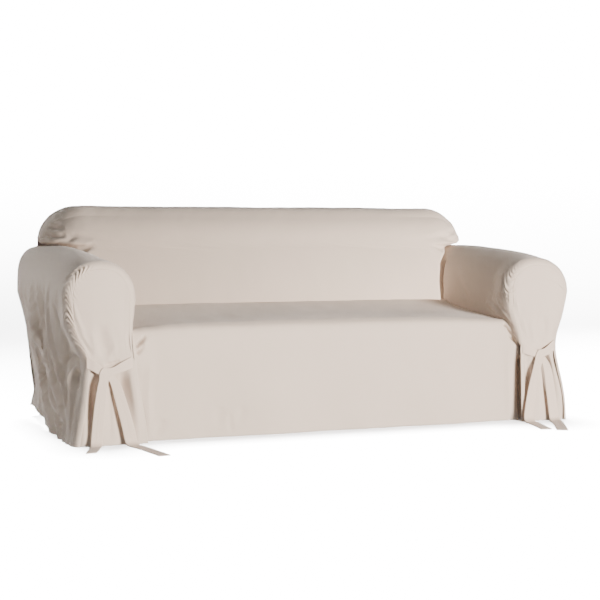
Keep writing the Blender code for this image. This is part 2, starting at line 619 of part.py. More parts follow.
def sheet(name, columns, rows, shape, flip, cloth, colour):
    """A grid laid on a surface and thickened on its inner side: shape gives the places of cells and rows."""
    grid = bmesh.new()
    bmesh.ops.create_grid(grid, x_segments=columns, y_segments=rows, size=0.5)
    flat = np.array([point.co for point in grid.verts])
    cell, row = np.round((flat[:, 0] + 0.5) * columns), np.round((flat[:, 1] + 0.5) * rows)
    for point, place in zip(grid.verts, shape(cell, row)):
        point.co = place
    if flip:
        bmesh.ops.reverse_faces(grid, faces=grid.faces)
    mesh = bpy.data.meshes.new(name)
    grid.to_mesh(mesh)
    grid.free()
    mesh.shade_smooth()
    mesh.materials.append(material(name, colour))
    piece = bpy.data.objects.new(name, mesh)
    piece.location = (MIDDLE_X, ARM_FRONT_Y, 0.0)
    thickness = piece.modifiers.new("Cloth", "SOLIDIFY")
    thickness.thickness = cloth
    thickness.offset = -1.0
    return piece


def build():
    for old in list(bpy.data.objects):
        bpy.data.objects.remove(old, do_unlink=True)
    parts = bpy.data.collections.new("slipcover")
    bpy.context.scene.collection.children.link(parts)

    pieces = [
        sheet("seat_and_skirt", SEAT_CELLS, SEAT_ROWS, seat_and_skirt, True, CLOTH, DUCK),
        sheet("inside_back", BACK_CELLS, FACE_ROWS + TOP_ROWS, inside_back, False, CLOTH, DUCK),
        sheet("outside_back", REAR_CELLS, REAR_UP + TURN_CELLS, outside_back, True, CLOTH, DUCK),
    ]
    for arm in ARMS:
        on_left = arm.side < 0
        panel, front = partial(arm_panel, arm), partial(arm_front, arm)
        rows = FLAP_ROWS + HEAD_ROWS
        pieces.append(sheet(f"arm_panel_{arm.word}", ARM_CELLS, ARM_ROWS, panel, on_left, CLOTH, DUCK))
        pieces.append(sheet(f"arm_front_{arm.word}", FRONT_CELLS, rows, front, not on_left, CLOTH, DUCK))
    for name, stations in TIES.items():
        strip = partial(tie, stations)
        pieces.append(sheet(name, TIE_CELLS, len(stations) - 1, strip, True, TIE_CLOTH, TAPE))
    for piece in pieces:
        parts.objects.link(piece)


build()
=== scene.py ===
# %% [markdown]
# # A slipcover in cotton duck, with tie-on arm fronts
# The real cover is cut from flat panels of cotton duck and sewn together: one long panel goes over each
# arm, a shaped front closes it, and the seat runs down into the front skirt. Cloth shows its folds only
# where it is dense enough to bend, so every panel here is a fine grid that is laid on the same surface as
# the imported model, given its creases, and then made thick.

import json
from collections import namedtuple
from functools import partial

import bmesh
import bpy
import numpy as np
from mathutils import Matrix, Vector

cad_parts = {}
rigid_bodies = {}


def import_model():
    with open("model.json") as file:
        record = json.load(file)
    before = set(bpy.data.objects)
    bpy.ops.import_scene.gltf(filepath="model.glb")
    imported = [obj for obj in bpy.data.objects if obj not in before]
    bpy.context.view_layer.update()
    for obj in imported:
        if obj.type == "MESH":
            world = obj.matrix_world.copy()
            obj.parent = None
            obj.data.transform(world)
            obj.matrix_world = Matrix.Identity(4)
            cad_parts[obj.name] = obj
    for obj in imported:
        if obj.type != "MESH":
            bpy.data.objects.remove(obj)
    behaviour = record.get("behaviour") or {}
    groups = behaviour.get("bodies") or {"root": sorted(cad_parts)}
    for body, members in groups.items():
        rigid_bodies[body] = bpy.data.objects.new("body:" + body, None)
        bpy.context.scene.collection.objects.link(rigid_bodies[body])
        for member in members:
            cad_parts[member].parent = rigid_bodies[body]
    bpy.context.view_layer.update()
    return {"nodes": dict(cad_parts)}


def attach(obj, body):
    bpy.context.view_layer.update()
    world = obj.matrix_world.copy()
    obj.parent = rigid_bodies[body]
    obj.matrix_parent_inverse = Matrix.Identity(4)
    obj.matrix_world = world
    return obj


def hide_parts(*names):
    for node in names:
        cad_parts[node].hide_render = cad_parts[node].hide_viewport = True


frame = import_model()
print("nodes of the packed model:", ", ".join(sorted(frame["nodes"])))

# %% [markdown]
# The camera comes first, because the creases are placed by what it sees. It stands low and to the left, a
# little below the top of the back, and its long lens keeps the far arm from shrinking.

# %% The camera
LENS, SENSOR = 81.6, 36.0
EYE = (-2.033, -4.995, 0.740)
TURN, TIP = 0.383, -0.047        # radians to the right of +Y, and up
FAR_CLIP = 60.0                  # metres, and the whole sweep is nearer

camera_data = bpy.data.cameras.new("camera")
camera_data.lens, camera_data.sensor_width = LENS, SENSOR
camera_data.clip_end = FAR_CLIP
camera = bpy.data.objects.new("camera", camera_data)
camera.location = EYE
camera.rotation_euler = (np.radians(90.0) + TIP, 0.0, -TURN)
bpy.context.scene.collection.objects.link(camera)
bpy.context.scene.camera = camera
print("camera at", EYE, "with a", LENS, "mm lens")

# %% [markdown]
# A photographer's sweep is one sheet of paper that runs from the floor up behind the object, so no edge
# shows. Here it is a grid whose far part is turned up round a quarter circle. A flat plane would end in a
# horizon.

# %% The sweep
SWEEP_HALF, SWEEP_FRONT, SWEEP_REAR = 9.0, -9.0, 4.5
SWEEP_ROUND, SWEEP_TALL = 2.5, 7.0
SWEEP_QUADS = 80                 # along the paper, enough for a smooth quarter circle
PAPER_WHITE, PAPER_ROUGH, PAPER_SHINE = 0.90, 0.9, 0.1


def sweep():
    """The paper: a grid whose far part is turned up behind the cover."""
    grid = bmesh.new()
    bmesh.ops.create_grid(grid, x_segments=2, y_segments=SWEEP_QUADS, size=1.0)
    quarter = SWEEP_ROUND * np.pi / 2
    flat_run = SWEEP_REAR - SWEEP_FRONT
    whole = flat_run + quarter + SWEEP_TALL
    for point in grid.verts:
        run = (point.co.y + 1.0) / 2 * whole
        angle = np.clip((run - flat_run) / SWEEP_ROUND, 0.0, np.pi / 2)
        up = max(run - flat_run - quarter, 0.0)
        point.co.x *= SWEEP_HALF
        point.co.y = SWEEP_FRONT + min(run, flat_run) + SWEEP_ROUND * np.sin(angle)
        point.co.z = SWEEP_ROUND * (1.0 - np.cos(angle)) + up
    mesh = bpy.data.meshes.new("sweep")
    grid.to_mesh(mesh)
    grid.free()
    mesh.shade_smooth()
    return bpy.data.objects.new("sweep", mesh)


paper = bpy.data.materials.new("paper")
paper.use_nodes = True
paper_shader = paper.node_tree.nodes["Principled BSDF"]
paper_shader.inputs["Base Color"].default_value = (PAPER_WHITE, PAPER_WHITE, PAPER_WHITE, 1.0)
paper_shader.inputs["Roughness"].default_value = PAPER_ROUGH
paper_shader.inputs["Specular IOR Level"].default_value = PAPER_SHINE
floor = sweep()
floor.data.materials.append(paper)
floor.visible_diffuse = False     # the paper is far brighter than the room, and must not flood the cloth
bpy.context.scene.collection.objects.link(floor)
print("the paper is", 2 * SWEEP_HALF, "m wide and rises", SWEEP_ROUND + SWEEP_TALL, "m behind the cover")

# %% [markdown]
# Photographers light the paper apart from the object, so that it turns white without flooding it. One lamp
# whitens its upright part. The other shines down on its floor from a little behind, so that the cover's
# soft contact shadow falls forward. Light linking gives both of them the paper alone.

# %% The lamps of the paper
PaperLamp = namedtuple("PaperLamp", "name energy tilt spread")
PAPER_LAMPS = (                   # the tilt is from straight down, and both angles are in degrees
    PaperLamp("wall_lamp", 60.0, 82.0, 20.0),
    PaperLamp("floor_lamp", 58.0, -18.0, 28.0),
)
only_paper = bpy.data.collections.new("lit by the paper lamps")
only_paper.objects.link(floor)
for lamp in PAPER_LAMPS:
    sun = bpy.data.lights.new(lamp.name, "SUN")
    sun.energy, sun.angle = lamp.energy, np.radians(lamp.spread)
    shining = bpy.data.objects.new(lamp.name, sun)
    shining.rotation_euler = (np.radians(lamp.tilt), 0.0, 0.0)
    shining.light_linking.receiver_collection = only_paper
    bpy.context.scene.collection.objects.link(shining)
print("lamps of the paper:", ", ".join(lamp.name for lamp in PAPER_LAMPS))

# %% [markdown]
# The key light is a large softbox in front and a little to the right. It fills the fronts and leaves the
# cover's left side in soft shade. The back has a key of its own, a low bounce lifts the left side's hem,
# and a small lamp inside the left arm keeps the paper white below the hem, where it rides up at the rear.

# %% The softboxes and the room
Softbox = namedtuple("Softbox", "name place target width height power colour")
WARM, WHITE = (1.0, 0.92, 0.86), (1.0, 1.0, 1.0)
SOFTBOXES = (                     # power in watts
    Softbox("under_lamp", (-0.88, 0.30, 0.20), (-0.88, 0.30, 0.0), 0.2, 0.5, 12.0, WHITE),
    Softbox("key", (2.0, -6.8, 0.80), (0.0, 0.0, 0.40), 1.6, 1.5, 1450.0, WARM),
    Softbox("back_key", (1.6, -2.0, 0.52), (0.0, 0.25, 0.55), 1.0, 0.6, 225.0, WARM),
    Softbox("floor_bounce", (-2.4, 0.3, 0.05), (-1.0, 0.1, 0.15), 0.9, 2.2, 9.0, WARM),
)
ROOM_COLOUR, ROOM_STRENGTH = (0.94, 0.97, 1.0, 1.0), 0.30

for box in SOFTBOXES:
    lamp = bpy.data.lights.new(box.name, "AREA")
    lamp.shape, lamp.size, lamp.size_y, lamp.energy = "RECTANGLE", box.width, box.height, box.power
    lamp.color = box.colour
    light = bpy.data.objects.new(box.name, lamp)
    light.location = box.place
    light.rotation_euler = (Vector(box.target) - Vector(box.place)).to_track_quat("-Z", "Y").to_euler()
    light.visible_camera = False
    bpy.context.scene.collection.objects.link(light)
    print(box.name, "turned by", [round(float(np.degrees(turn)), 1) for turn in light.rotation_euler])
bpy.data.objects["under_lamp"].light_linking.receiver_collection = only_paper

sky = bpy.data.worlds.new("studio")
sky.use_nodes = True
sky.node_tree.nodes["Background"].inputs["Color"].default_value = ROOM_COLOUR
sky.node_tree.nodes["Background"].inputs["Strength"].default_value = ROOM_STRENGTH
bpy.context.scene.world = sky
print("a pale room of strength", ROOM_STRENGTH)

# %% [markdown]
# A material is a small graph of nodes. Three helpers keep it readable: one makes any node, one makes a step
# of arithmetic and one mixes two colours. Writing each link out would take three times the lines.

# %% Helpers for materials
def new_node(tree, kind, **settings):
    """A node with its sockets and settings filled in."""
    node = tree.nodes.new(kind)
    for name, value in settings.items():
        if name in node.inputs:
            node.inputs[name].default_value = value
        else:
            setattr(node, name, value)
    return node


def feed(tree, socket, value):
    """Give a socket a number, a colour or another node's output."""
    if isinstance(value, (int, float)):
        socket.default_value = value
    elif isinstance(value, tuple):
        socket.default_value = (*value, 1.0)
    else:
        tree.links.new(value, socket)


def maths(tree, operation, *values, clamp=False):
    """One step of arithmetic, such as MULTIPLY_ADD with its three values."""
    node = tree.nodes.new("ShaderNodeMath")
    node.operation, node.use_clamp = operation, clamp
    for socket, value in zip(node.inputs, values):
        feed(tree, socket, value)
    return node.outputs[0]


def blend_colours(tree, share, first, second):
    """The first colour at a share of 0, and the second at 1."""
    node = tree.nodes.new("ShaderNodeMix")
    node.data_type = "RGBA"
    factor, one, other = node.inputs[0], node.inputs[6], node.inputs[7]     # the sockets of a colour mix
    for socket, value in ((factor, share), (one, first), (other, second)):
        feed(tree, socket, value)
    return node.outputs[2]


print("helpers for materials:", ", ".join(each.__name__ for each in (new_node, feed, maths, blend_colours)))

# %% [markdown]
# Cotton duck is a plain weave: two sets of even yarns cross one over one. Real yarns are uneven, so one is
# a little thicker or darker than the next, and that unevenness is what makes plain cloth read as cotton.
# The weave is drawn in the cloth's own UV map, which is in metres, so it turns with each panel as cut cloth
# does. A picture of cloth would repeat, and would blur close up.

# %% Yarns, slubs and stitches
YARN = 0.0011             # from one yarn to the next
SLUB_LONG, SLUB_THIN = 40.0, 900.0       # how often slubs come along a yarn and across it, per metre
STITCH, STITCH_HALF = 0.0034, 0.0006     # a stitch's length with its gap, and half its width
STITCH_SHARE = 0.36       # half of the share of that length that is thread
HEM_STITCH = 0.016        # from a hem's edge to its row of stitches


def yarns(tree, u, v):
    """One over one, as the product of two waves."""
    warp = maths(tree, "SINE", maths(tree, "MULTIPLY", u, float(np.pi) / YARN))
    weft = maths(tree, "SINE", maths(tree, "MULTIPLY", v, float(np.pi) / YARN))
    return maths(tree, "MULTIPLY_ADD", maths(tree, "MULTIPLY", warp, weft), 0.5, 0.5)


def slubs(tree, cloth_map):
    """Long thin streaks along both yarns, as two stretched noises."""
    streaks = []
    for stretched in ((SLUB_LONG, SLUB_THIN, 1.0), (SLUB_THIN, SLUB_LONG, 1.0)):
        stretch = new_node(tree, "ShaderNodeMapping", Scale=stretched)
        tree.links.new(cloth_map.outputs[0], stretch.inputs["Vector"])
        noise = new_node(tree, "ShaderNodeTexNoise", Scale=1.0, Detail=2.0, Roughness=0.5)
        tree.links.new(stretch.outputs[0], noise.inputs["Vector"])
        streaks.append(noise.outputs["Fac"])
    return maths(tree, "MULTIPLY", maths(tree, "ADD", *streaks), 0.5)


def hem_stitches(tree, u, v):
    """Dashes in a line beside each hem, from the distance to it."""
    hem = new_node(tree, "ShaderNodeAttribute", attribute_name="hem")
    off_line = maths(tree, "ABSOLUTE", maths(tree, "SUBTRACT", hem.outputs["Fac"], HEM_STITCH))
    on_line = maths(tree, "LESS_THAN", off_line, STITCH_HALF)
    beat = maths(tree, "FRACT", maths(tree, "DIVIDE", maths(tree, "ADD", u, v), STITCH))
    from_middle = maths(tree, "ABSOLUTE", maths(tree, "SUBTRACT", beat, 0.5))
    return maths(tree, "MULTIPLY", on_line, maths(tree, "LESS_THAN", from_middle, STITCH_SHARE))


print(round(0.01 / YARN, 1), "yarns and", round(0.01 / STITCH, 1), "stitches to a centimetre")

# %% [markdown]
# Both cloths are the same cotton. The ties are double, so they let less light through and look a little
# lighter. A fold's bottom gets painted shade: its colour is darkened by the panel's own attribute, because
# light is lost between the walls of a fold that is sharper than this mesh can show. The weave and slubs are
# bump and tone alone, being too small for a mesh.

# %% Cotton
MOTTLE = {"Scale": 7.0, "Detail": 3.0, "Roughness": 0.55}
SLUB_SHARE, SLUB_LEAST = 0.8, 0.1         # a yarn's lightness is this share of its slubs, and the least
MOTTLE_SHARE, MOTTLE_LEAST = 0.5, 0.75    # slow patches change it by a factor that is made the same way
BETWEEN_YARNS = 0.25                      # how much darker it is between two yarns
FOLD_SHADE, FOLD_SHADE_COLOUR = 0.60, (0.215, 0.17, 0.135)      # painted shade: how far a deep fold's bottom is darkened towards this colour
WEAVE_RAISED, BUMP_STRENGTH, BUMP_DEPTH = 0.6, 0.35, 0.0005       # the weave's share of the bump's height
FINISH = {"Roughness": 0.9, "Specular IOR Level": 0.2, "Sheen Weight": 0.15, "Sheen Roughness": 0.5}


def cotton(name, colour, shade):
    """Plain-woven cotton: its yarns, slubs, slight mottling, and the stitches along its hems."""
    made = bpy.data.materials.new(name)
    made.use_nodes = True
    tree = made.node_tree
    shader = tree.nodes["Principled BSDF"]
    cloth_map = new_node(tree, "ShaderNodeUVMap", uv_map="cloth")
    apart = tree.nodes.new("ShaderNodeSeparateXYZ")
    tree.links.new(cloth_map.outputs[0], apart.inputs[0])
    u, v = apart.outputs[0], apart.outputs[1]
    weave, slub, stitch = yarns(tree, u, v), slubs(tree, cloth_map), hem_stitches(tree, u, v)

    mottle = new_node(tree, "ShaderNodeTexNoise", **MOTTLE)
    tree.links.new(tree.nodes.new("ShaderNodeTexCoord").outputs["Object"], mottle.inputs["Vector"])
    patches = maths(tree, "MULTIPLY_ADD", mottle.outputs["Fac"], MOTTLE_SHARE, MOTTLE_LEAST)
    light = maths(tree, "MULTIPLY", maths(tree, "MULTIPLY_ADD", slub, SLUB_SHARE, SLUB_LEAST), patches)
    tone = maths(tree, "SUBTRACT", 1.0, light, clamp=True)
    between = maths(tree, "MULTIPLY_ADD", weave, -BETWEEN_YARNS, BETWEEN_YARNS)
    tone = maths(tree, "ADD", tone, between, clamp=True)

    base = blend_colours(tree, tone, colour, shade)
    base = blend_colours(tree, maths(tree, "MULTIPLY", stitch, 0.5), base, shade)
    # painted shade: the deeper a point lies in a fold, the darker its colour
    deep = new_node(tree, "ShaderNodeAttribute", attribute_name="deep")
    painted_fold_shade = maths(tree, "MULTIPLY", deep.outputs["Fac"], FOLD_SHADE)
    tree.links.new(blend_colours(tree, painted_fold_shade, base, FOLD_SHADE_COLOUR), shader.inputs["Base Color"])

    raised = maths(tree, "ADD", maths(tree, "MULTIPLY", weave, WEAVE_RAISED), slub)
    raised = maths(tree, "SUBTRACT", raised, stitch)
    bump = new_node(tree, "ShaderNodeBump", Strength=BUMP_STRENGTH, Distance=BUMP_DEPTH)
    tree.links.new(raised, bump.inputs["Height"])
    tree.links.new(bump.outputs[0], shader.inputs["Normal"])
    for socket, value in FINISH.items():
        shader.inputs[socket].default_value = value
    return made


DUCK = cotton("duck", (0.66, 0.552, 0.464), (0.58, 0.483, 0.396))
TAPE = cotton("ties", (0.68, 0.562, 0.468), (0.60, 0.488, 0.400))
print("materials:", DUCK.name, "and", TAPE.name)

# %% [markdown]
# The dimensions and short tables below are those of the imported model, in metres. They are repeated here so
# that the fine cloth follows its solid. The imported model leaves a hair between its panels, and here they
# meet.

# %% Named sizes
CLOTH = 0.002            # a panel with its hem and seam turnings
TIE_CLOTH = 0.0018       # a tie is the cloth folded double
MIDDLE_X = -0.018        # the seat's middle, measured from the origin
ARM_FRONT_Y = -0.315     # the arm fronts, measured from the origin

ARM_INNER = 0.775        # from the seat's middle to an arm's inner face
ARM_WIDEST = 0.515       # height at which an arm is widest
ARM_ROUND, REAR_ROUND = 2.15, 3.2         # how square an arm's top is: 2 is an ellipse
BAND = 0.031             # width of the gathered band that turns the arm's front edge
BAND_DEPTH = 0.045       # how far back that turn reaches
BAND_LEAST = 0.006       # width of the band at its inner foot
BAND_FOOT = 0.304        # height of that foot, just above the ties
FACING_SWELL = 0.012     # how far the facing stands forward of its seam
KNOT_HOLLOW = 0.010      # depth of the hollow above a knot
SEAT_CROWN = 0.010       # how much higher the seat's middle is than its sides
HEM_WAVE = 0.006         # height of the front hem's slow waves
TIE_LEVEL = 0.300        # height of the ties' upper ends
STRIP = 0.023            # hemmed return below the tie, at an arm's outer corner
FLAP_SHORT, FLAP_PAST = 0.003, 0.007     # the flap stops short of that strip above, and lies behind it below
FLAP_SET, FLAP_SLIP = 0.004, 0.012       # how far back the flap lies, and its outer edge besides

REAR_SEAM = 0.885        # depth of the seam round the outside back
REAR_TURN = 0.030        # radius of the turn from there to the outside back's face
CREASE_Y, CREASE_Z = 0.5704, 0.4634      # where seat and inside back meet
TUCK_Y = 0.657           # how far back the arm's inner face runs, beside the inside back
SKIRT_Y = 0.036          # depth of the front skirt
SIDE_DROP = 0.012        # the seat lies this much lower beside the arms
SAT_DOWN = 0.005         # depth of the two places where it is pressed in
HEM_SET = 0.004          # how far the front hem stands back
CORNER_PULL = 0.010      # how far the ties pull the skirt's corners forward
print("a panel is", CLOTH, "m thick with its turnings, and a tie", TIE_CLOTH, "m")

# %% [markdown]
# The back has sizes of its own, because its two upper ends swell out over the arms. Each end, or ear, is a
# box with rounded edges, and three radii describe it. A sphere would be as round at the front as at the
# top.

# %% Sizes of the back
EAR_HALF = 0.931         # half of the back's length over its two ends, the ears
EAR_TURN = (0.16, 0.11, 0.145)   # radii of the ears' upper corners along X, Y and Z
SPREAD = 30.0            # degrees by which the cloth spreads round the ears' corners
BACK_TOP = 0.864         # height of the back's top
FACE_SHARE = 0.78        # share of the inside back's half width that lies on its face
TURN_SHARE = 0.45        # and of the rest, the share that turns its edge beside an arm
CORNER_TURN = (0.022, 0.022)     # radii of the inside back's sides beside an arm, along X and Y
EAR_FRONT_TURN = (0.140, 0.100)  # and of the ears' fronts
REAR_NOTCH = 0.70        # height of the notch between arm and ear, seen from the rear
REAR_WAVE = 0.006        # height of the rear hem's slow waves
HEM_REACH = 0.30         # height over which the rear panel follows the rise of its hem
print("the back is", 2 * EAR_HALF, "m long over its ears")

# %% [markdown]
# Each sheet is counted in cells, as cloth is counted in threads. The arm front shares its border cells with
# the arm panel, so the two meet along their seam. Cells may be of any size, and a panel is still read
# between them.

# %% Cells of the pattern
INNER_CELLS, ARCH_CELLS, UPPER_CELLS, LOWER_CELLS = 5, 18, 5, 7
ARM_CELLS = INNER_CELLS + ARCH_CELLS + UPPER_CELLS + LOWER_CELLS
SEAM_CELLS = INNER_CELLS + ARCH_CELLS + UPPER_CELLS
BAND_ROWS, ARM_ROWS = 3, 23
FRONT_CELLS, FLAP_ROWS = 14, 8
HEAD_ROWS = (SEAM_CELLS - FRONT_CELLS) // 2
SEAT_CELLS, SEAT_ROWS = 30, 24
BACK_CELLS, FACE_ROWS, TOP_ROWS = 32, 15, 6
REAR_CELLS, REAR_UP, TURN_CELLS = 22, 12, 2
TIE_CELLS = 3

TINY, SPECK = 1e-9, 1e-12        # added to what is divided by, so that it is never 0
print("the arm panel has", ARM_CELLS, "cells by", ARM_ROWS, "rows, and the seat", SEAT_CELLS, "by", SEAT_ROWS)

# %% [markdown]
# A dressmaker's pattern is a short list of measurements, and so is this one. Each table has one row for
# every place along a panel where the cloth was measured, and the curve between two rows is worked out. That
# keeps the shape in a few numbers that can be changed by hand, which a sculpted mesh wouldn't allow.

# %% Tables of the arms
# The height of an arm's top, on the way back.
Rise = namedtuple("Rise", "depth top")
ARM_TOP = (
    Rise(0.00, 0.648),
    Rise(0.05, 0.656),
    Rise(0.20, 0.677),
    Rise(0.36, 0.689),
    Rise(0.52, 0.698),
    Rise(0.90, 0.700),
)

# An arm's width: the outer and inner line of its front, the outer line at the rear corner, and the edge of
# the front skirt beside it.
Waist = namedtuple("Waist", "height outer inner rear skirt")
NEAR_WAIST = (
    Waist(0.000, 0.985, 0.712, 0.966, 0.7040),
    Waist(0.060, 0.974, 0.719, 0.962, 0.7110),
    Waist(0.140, 0.960, 0.732, 0.947, 0.7250),
    Waist(0.220, 0.951, 0.747, 0.957, 0.7410),
    Waist(0.290, 0.947, 0.758, 0.969, 0.7545),
    Waist(0.335, 0.961, 0.763, 0.976, 0.7600),
    Waist(0.380, 0.986, 0.763, 0.981, 0.7600),
    Waist(0.430, 1.004, 0.757, 0.991, 0.7540),
    Waist(0.515, 1.014, 0.748, 1.014, 0.7450),
)
FAR_WAIST = (
    Waist(0.000, 1.046, 0.828, 0.996, 0.8460),
    Waist(0.060, 1.044, 0.826, 0.994, 0.8380),
    Waist(0.140, 1.030, 0.824, 0.994, 0.8320),
    Waist(0.220, 1.008, 0.821, 0.998, 0.8280),
    Waist(0.290, 0.994, 0.816, 1.004, 0.8250),
    Waist(0.335, 0.998, 0.806, 1.010, 0.8110),
    Waist(0.380, 1.013, 0.788, 1.016, 0.7845),
    Waist(0.430, 1.031, 0.764, 1.022, 0.7610),
    Waist(0.515, 1.050, 0.748, 1.032, 0.7450),
)

# Folds that hang down an arm's outer side: where each starts and ends, its half width and its height.
Fold = namedtuple("Fold", "top_y top_z foot_y foot_z width height")
NEAR_FOLDS = (
    Fold(0.76, 0.50, 0.40, 0.05, 0.060, 0.024),
    Fold(0.82, 0.40, 0.62, 0.08, 0.060, -0.018),
    Fold(0.52, 0.49, 0.25, 0.04, 0.050, 0.022),
    Fold(0.64, 0.46, 0.38, 0.14, 0.045, -0.014),
    Fold(0.42, 0.42, 0.33, 0.10, 0.040, -0.012),
    Fold(0.34, 0.47, 0.17, 0.03, 0.042, 0.018),
    Fold(0.24, 0.36, 0.20, 0.08, 0.036, -0.012),
    Fold(0.11, 0.30, 0.10, 0.02, 0.036, 0.014),
)
FAR_FOLDS = (
    Fold(0.70, 0.48, 0.58, 0.04, 0.060, 0.016),
    Fold(0.58, 0.42, 0.46, 0.08, 0.045, -0.012),
    Fold(0.48, 0.46, 0.34, 0.05, 0.055, 0.018),
    Fold(0.28, 0.42, 0.19, 0.04, 0.045, 0.014),
    Fold(0.12, 0.28, 0.10, 0.02, 0.036, 0.012),
)

# Hollows of the flap below the ties: how far across from the outer edge, half width and depth.
Hollow = namedtuple("Hollow", "across half depth")
NEAR_HOLLOWS = (Hollow(0.13, 0.15, 0.030), Hollow(0.68, 0.20, 0.036))
FAR_HOLLOWS = (Hollow(0.30, 0.18, 0.030), Hollow(0.82, 0.12, 0.012))

# What tells the two arms apart. Side is -1 for the left arm in the front view and 1 for the right one. Outer
# and foot are the outer line's widest and lowest distance from the middle, and the hem rises to rear_hem.
Arm = namedtuple("Arm", "word side outer foot rear_hem waist folds hollows")
ARMS = (
    Arm("left", -1, 1.014, 0.980, 0.050, NEAR_WAIST, NEAR_FOLDS, NEAR_HOLLOWS),
    Arm("right", 1, 1.038, 1.006, 0.012, FAR_WAIST, FAR_FOLDS, FAR_HOLLOWS),
)
for arm in ARMS:
    print("the", arm.word, "arm has", len(arm.waist), "measured heights and", len(arm.folds), "hanging folds")

# %% [markdown]
# The back leans, and it is wider above the arms than between them. So it is measured twice: its face from
# the side, and its half width from the front. The rows of cloth lie closest where its width changes
# fastest.

# %% Tables of the back
# The inside back's face, seen from the side.
Lean = namedtuple("Lean", "height depth")
BACK_LEAN = (
    Lean(CREASE_Z, CREASE_Y),
    Lean(0.520, 0.5790),
    Lean(0.580, 0.5910),
    Lean(0.640, 0.6090),
    Lean(0.702, 0.6310),
    Lean(0.800, 0.6535),
    Lean(0.870, 0.6700),
)

# Half of the inside back's width on its way up, and how far its sides turn back.
Side = namedtuple("Side", "height half turn")
BACK_SIDE = (
    Side(0.460, 0.7690, 0.040),
    Side(0.550, 0.7700, 0.040),
    Side(0.600, 0.7800, 0.040),
    Side(0.640, 0.7950, 0.042),
    Side(0.660, 0.8080, 0.046),
    Side(0.680, 0.8270, 0.060),
    Side(0.690, 0.8380, 0.120),
    Side(0.699, 0.8600, 0.230),
    Side(0.705, 0.8900, 0.260),
    Side(0.709, 0.9120, 0.260),
    Side(0.716, 0.9240, 0.260),
    Side(0.735, EAR_HALF, 0.260),
    Side(0.800, EAR_HALF, 0.260),
)

# The inside back's rows on their way up, closest together under the ears.
Course = namedtuple("Course", "row height")
BACK_ROWS = (
    Course(0, CREASE_Z),
    Course(3, 0.5750),
    Course(6, 0.6650),
    Course(8, 0.6945),
    Course(10, 0.7090),
    Course(12, 0.7500),
    Course(15, 0.8640),
)

# The outside back's rows, from the hem to where its top turns forward.
REAR_ROWS = (
    Course(0, 0.0),
    Course(4, 0.360),
    Course(6, ARM_WIDEST),
    Course(8, 0.660),
    Course(9, 0.698),
    Course(10, 0.716),
    Course(12, BACK_TOP - REAR_TURN),
)

print("the back has", len(BACK_LEAN), "rows for its lean and", len(BACK_SIDE), "for its sides")

# %% [markdown]
# Seat and skirt are one length of cloth, so one side view is enough: a row for each station on the way to
# the hem. Its width isn't listed, because the arms set it.

# %% Table of the seat and skirt
Profile = namedtuple("Profile", "step depth height")
SEAT_PATH = (
    Profile(0.00, CREASE_Y - 0.0004, CREASE_Z - 0.0004),
    Profile(0.04, 0.5450, 0.463),
    Profile(0.16, 0.4200, 0.449),
    Profile(0.30, 0.2700, 0.434),
    Profile(0.44, 0.1200, 0.420),
    Profile(0.50, 0.0720, 0.412),
    Profile(0.54, 0.0480, 0.399),
    Profile(0.58, 0.0380, 0.378),
    Profile(0.62, SKIRT_Y, 0.345),
    Profile(0.80, 0.0380, 0.180),
    Profile(1.00, 0.0460, 0.000),
)
SEAT_TOP = SEAT_PATH[5::-1]      # its rows on the seat, from front to back
print("the seat falls", round(SEAT_PATH[0].height - SEAT_TOP[0].height, 3), "m towards the front")

# %% [markdown]
# A tie is listed from its sewn end to its free one. At each station it has its middle, half its width, and
# the direction of the width: turned from level in the upright plane, and swung in the floor's plane, in
# degrees. A curve with a bevel would be a round cord, and this is a flat strip that turns over.

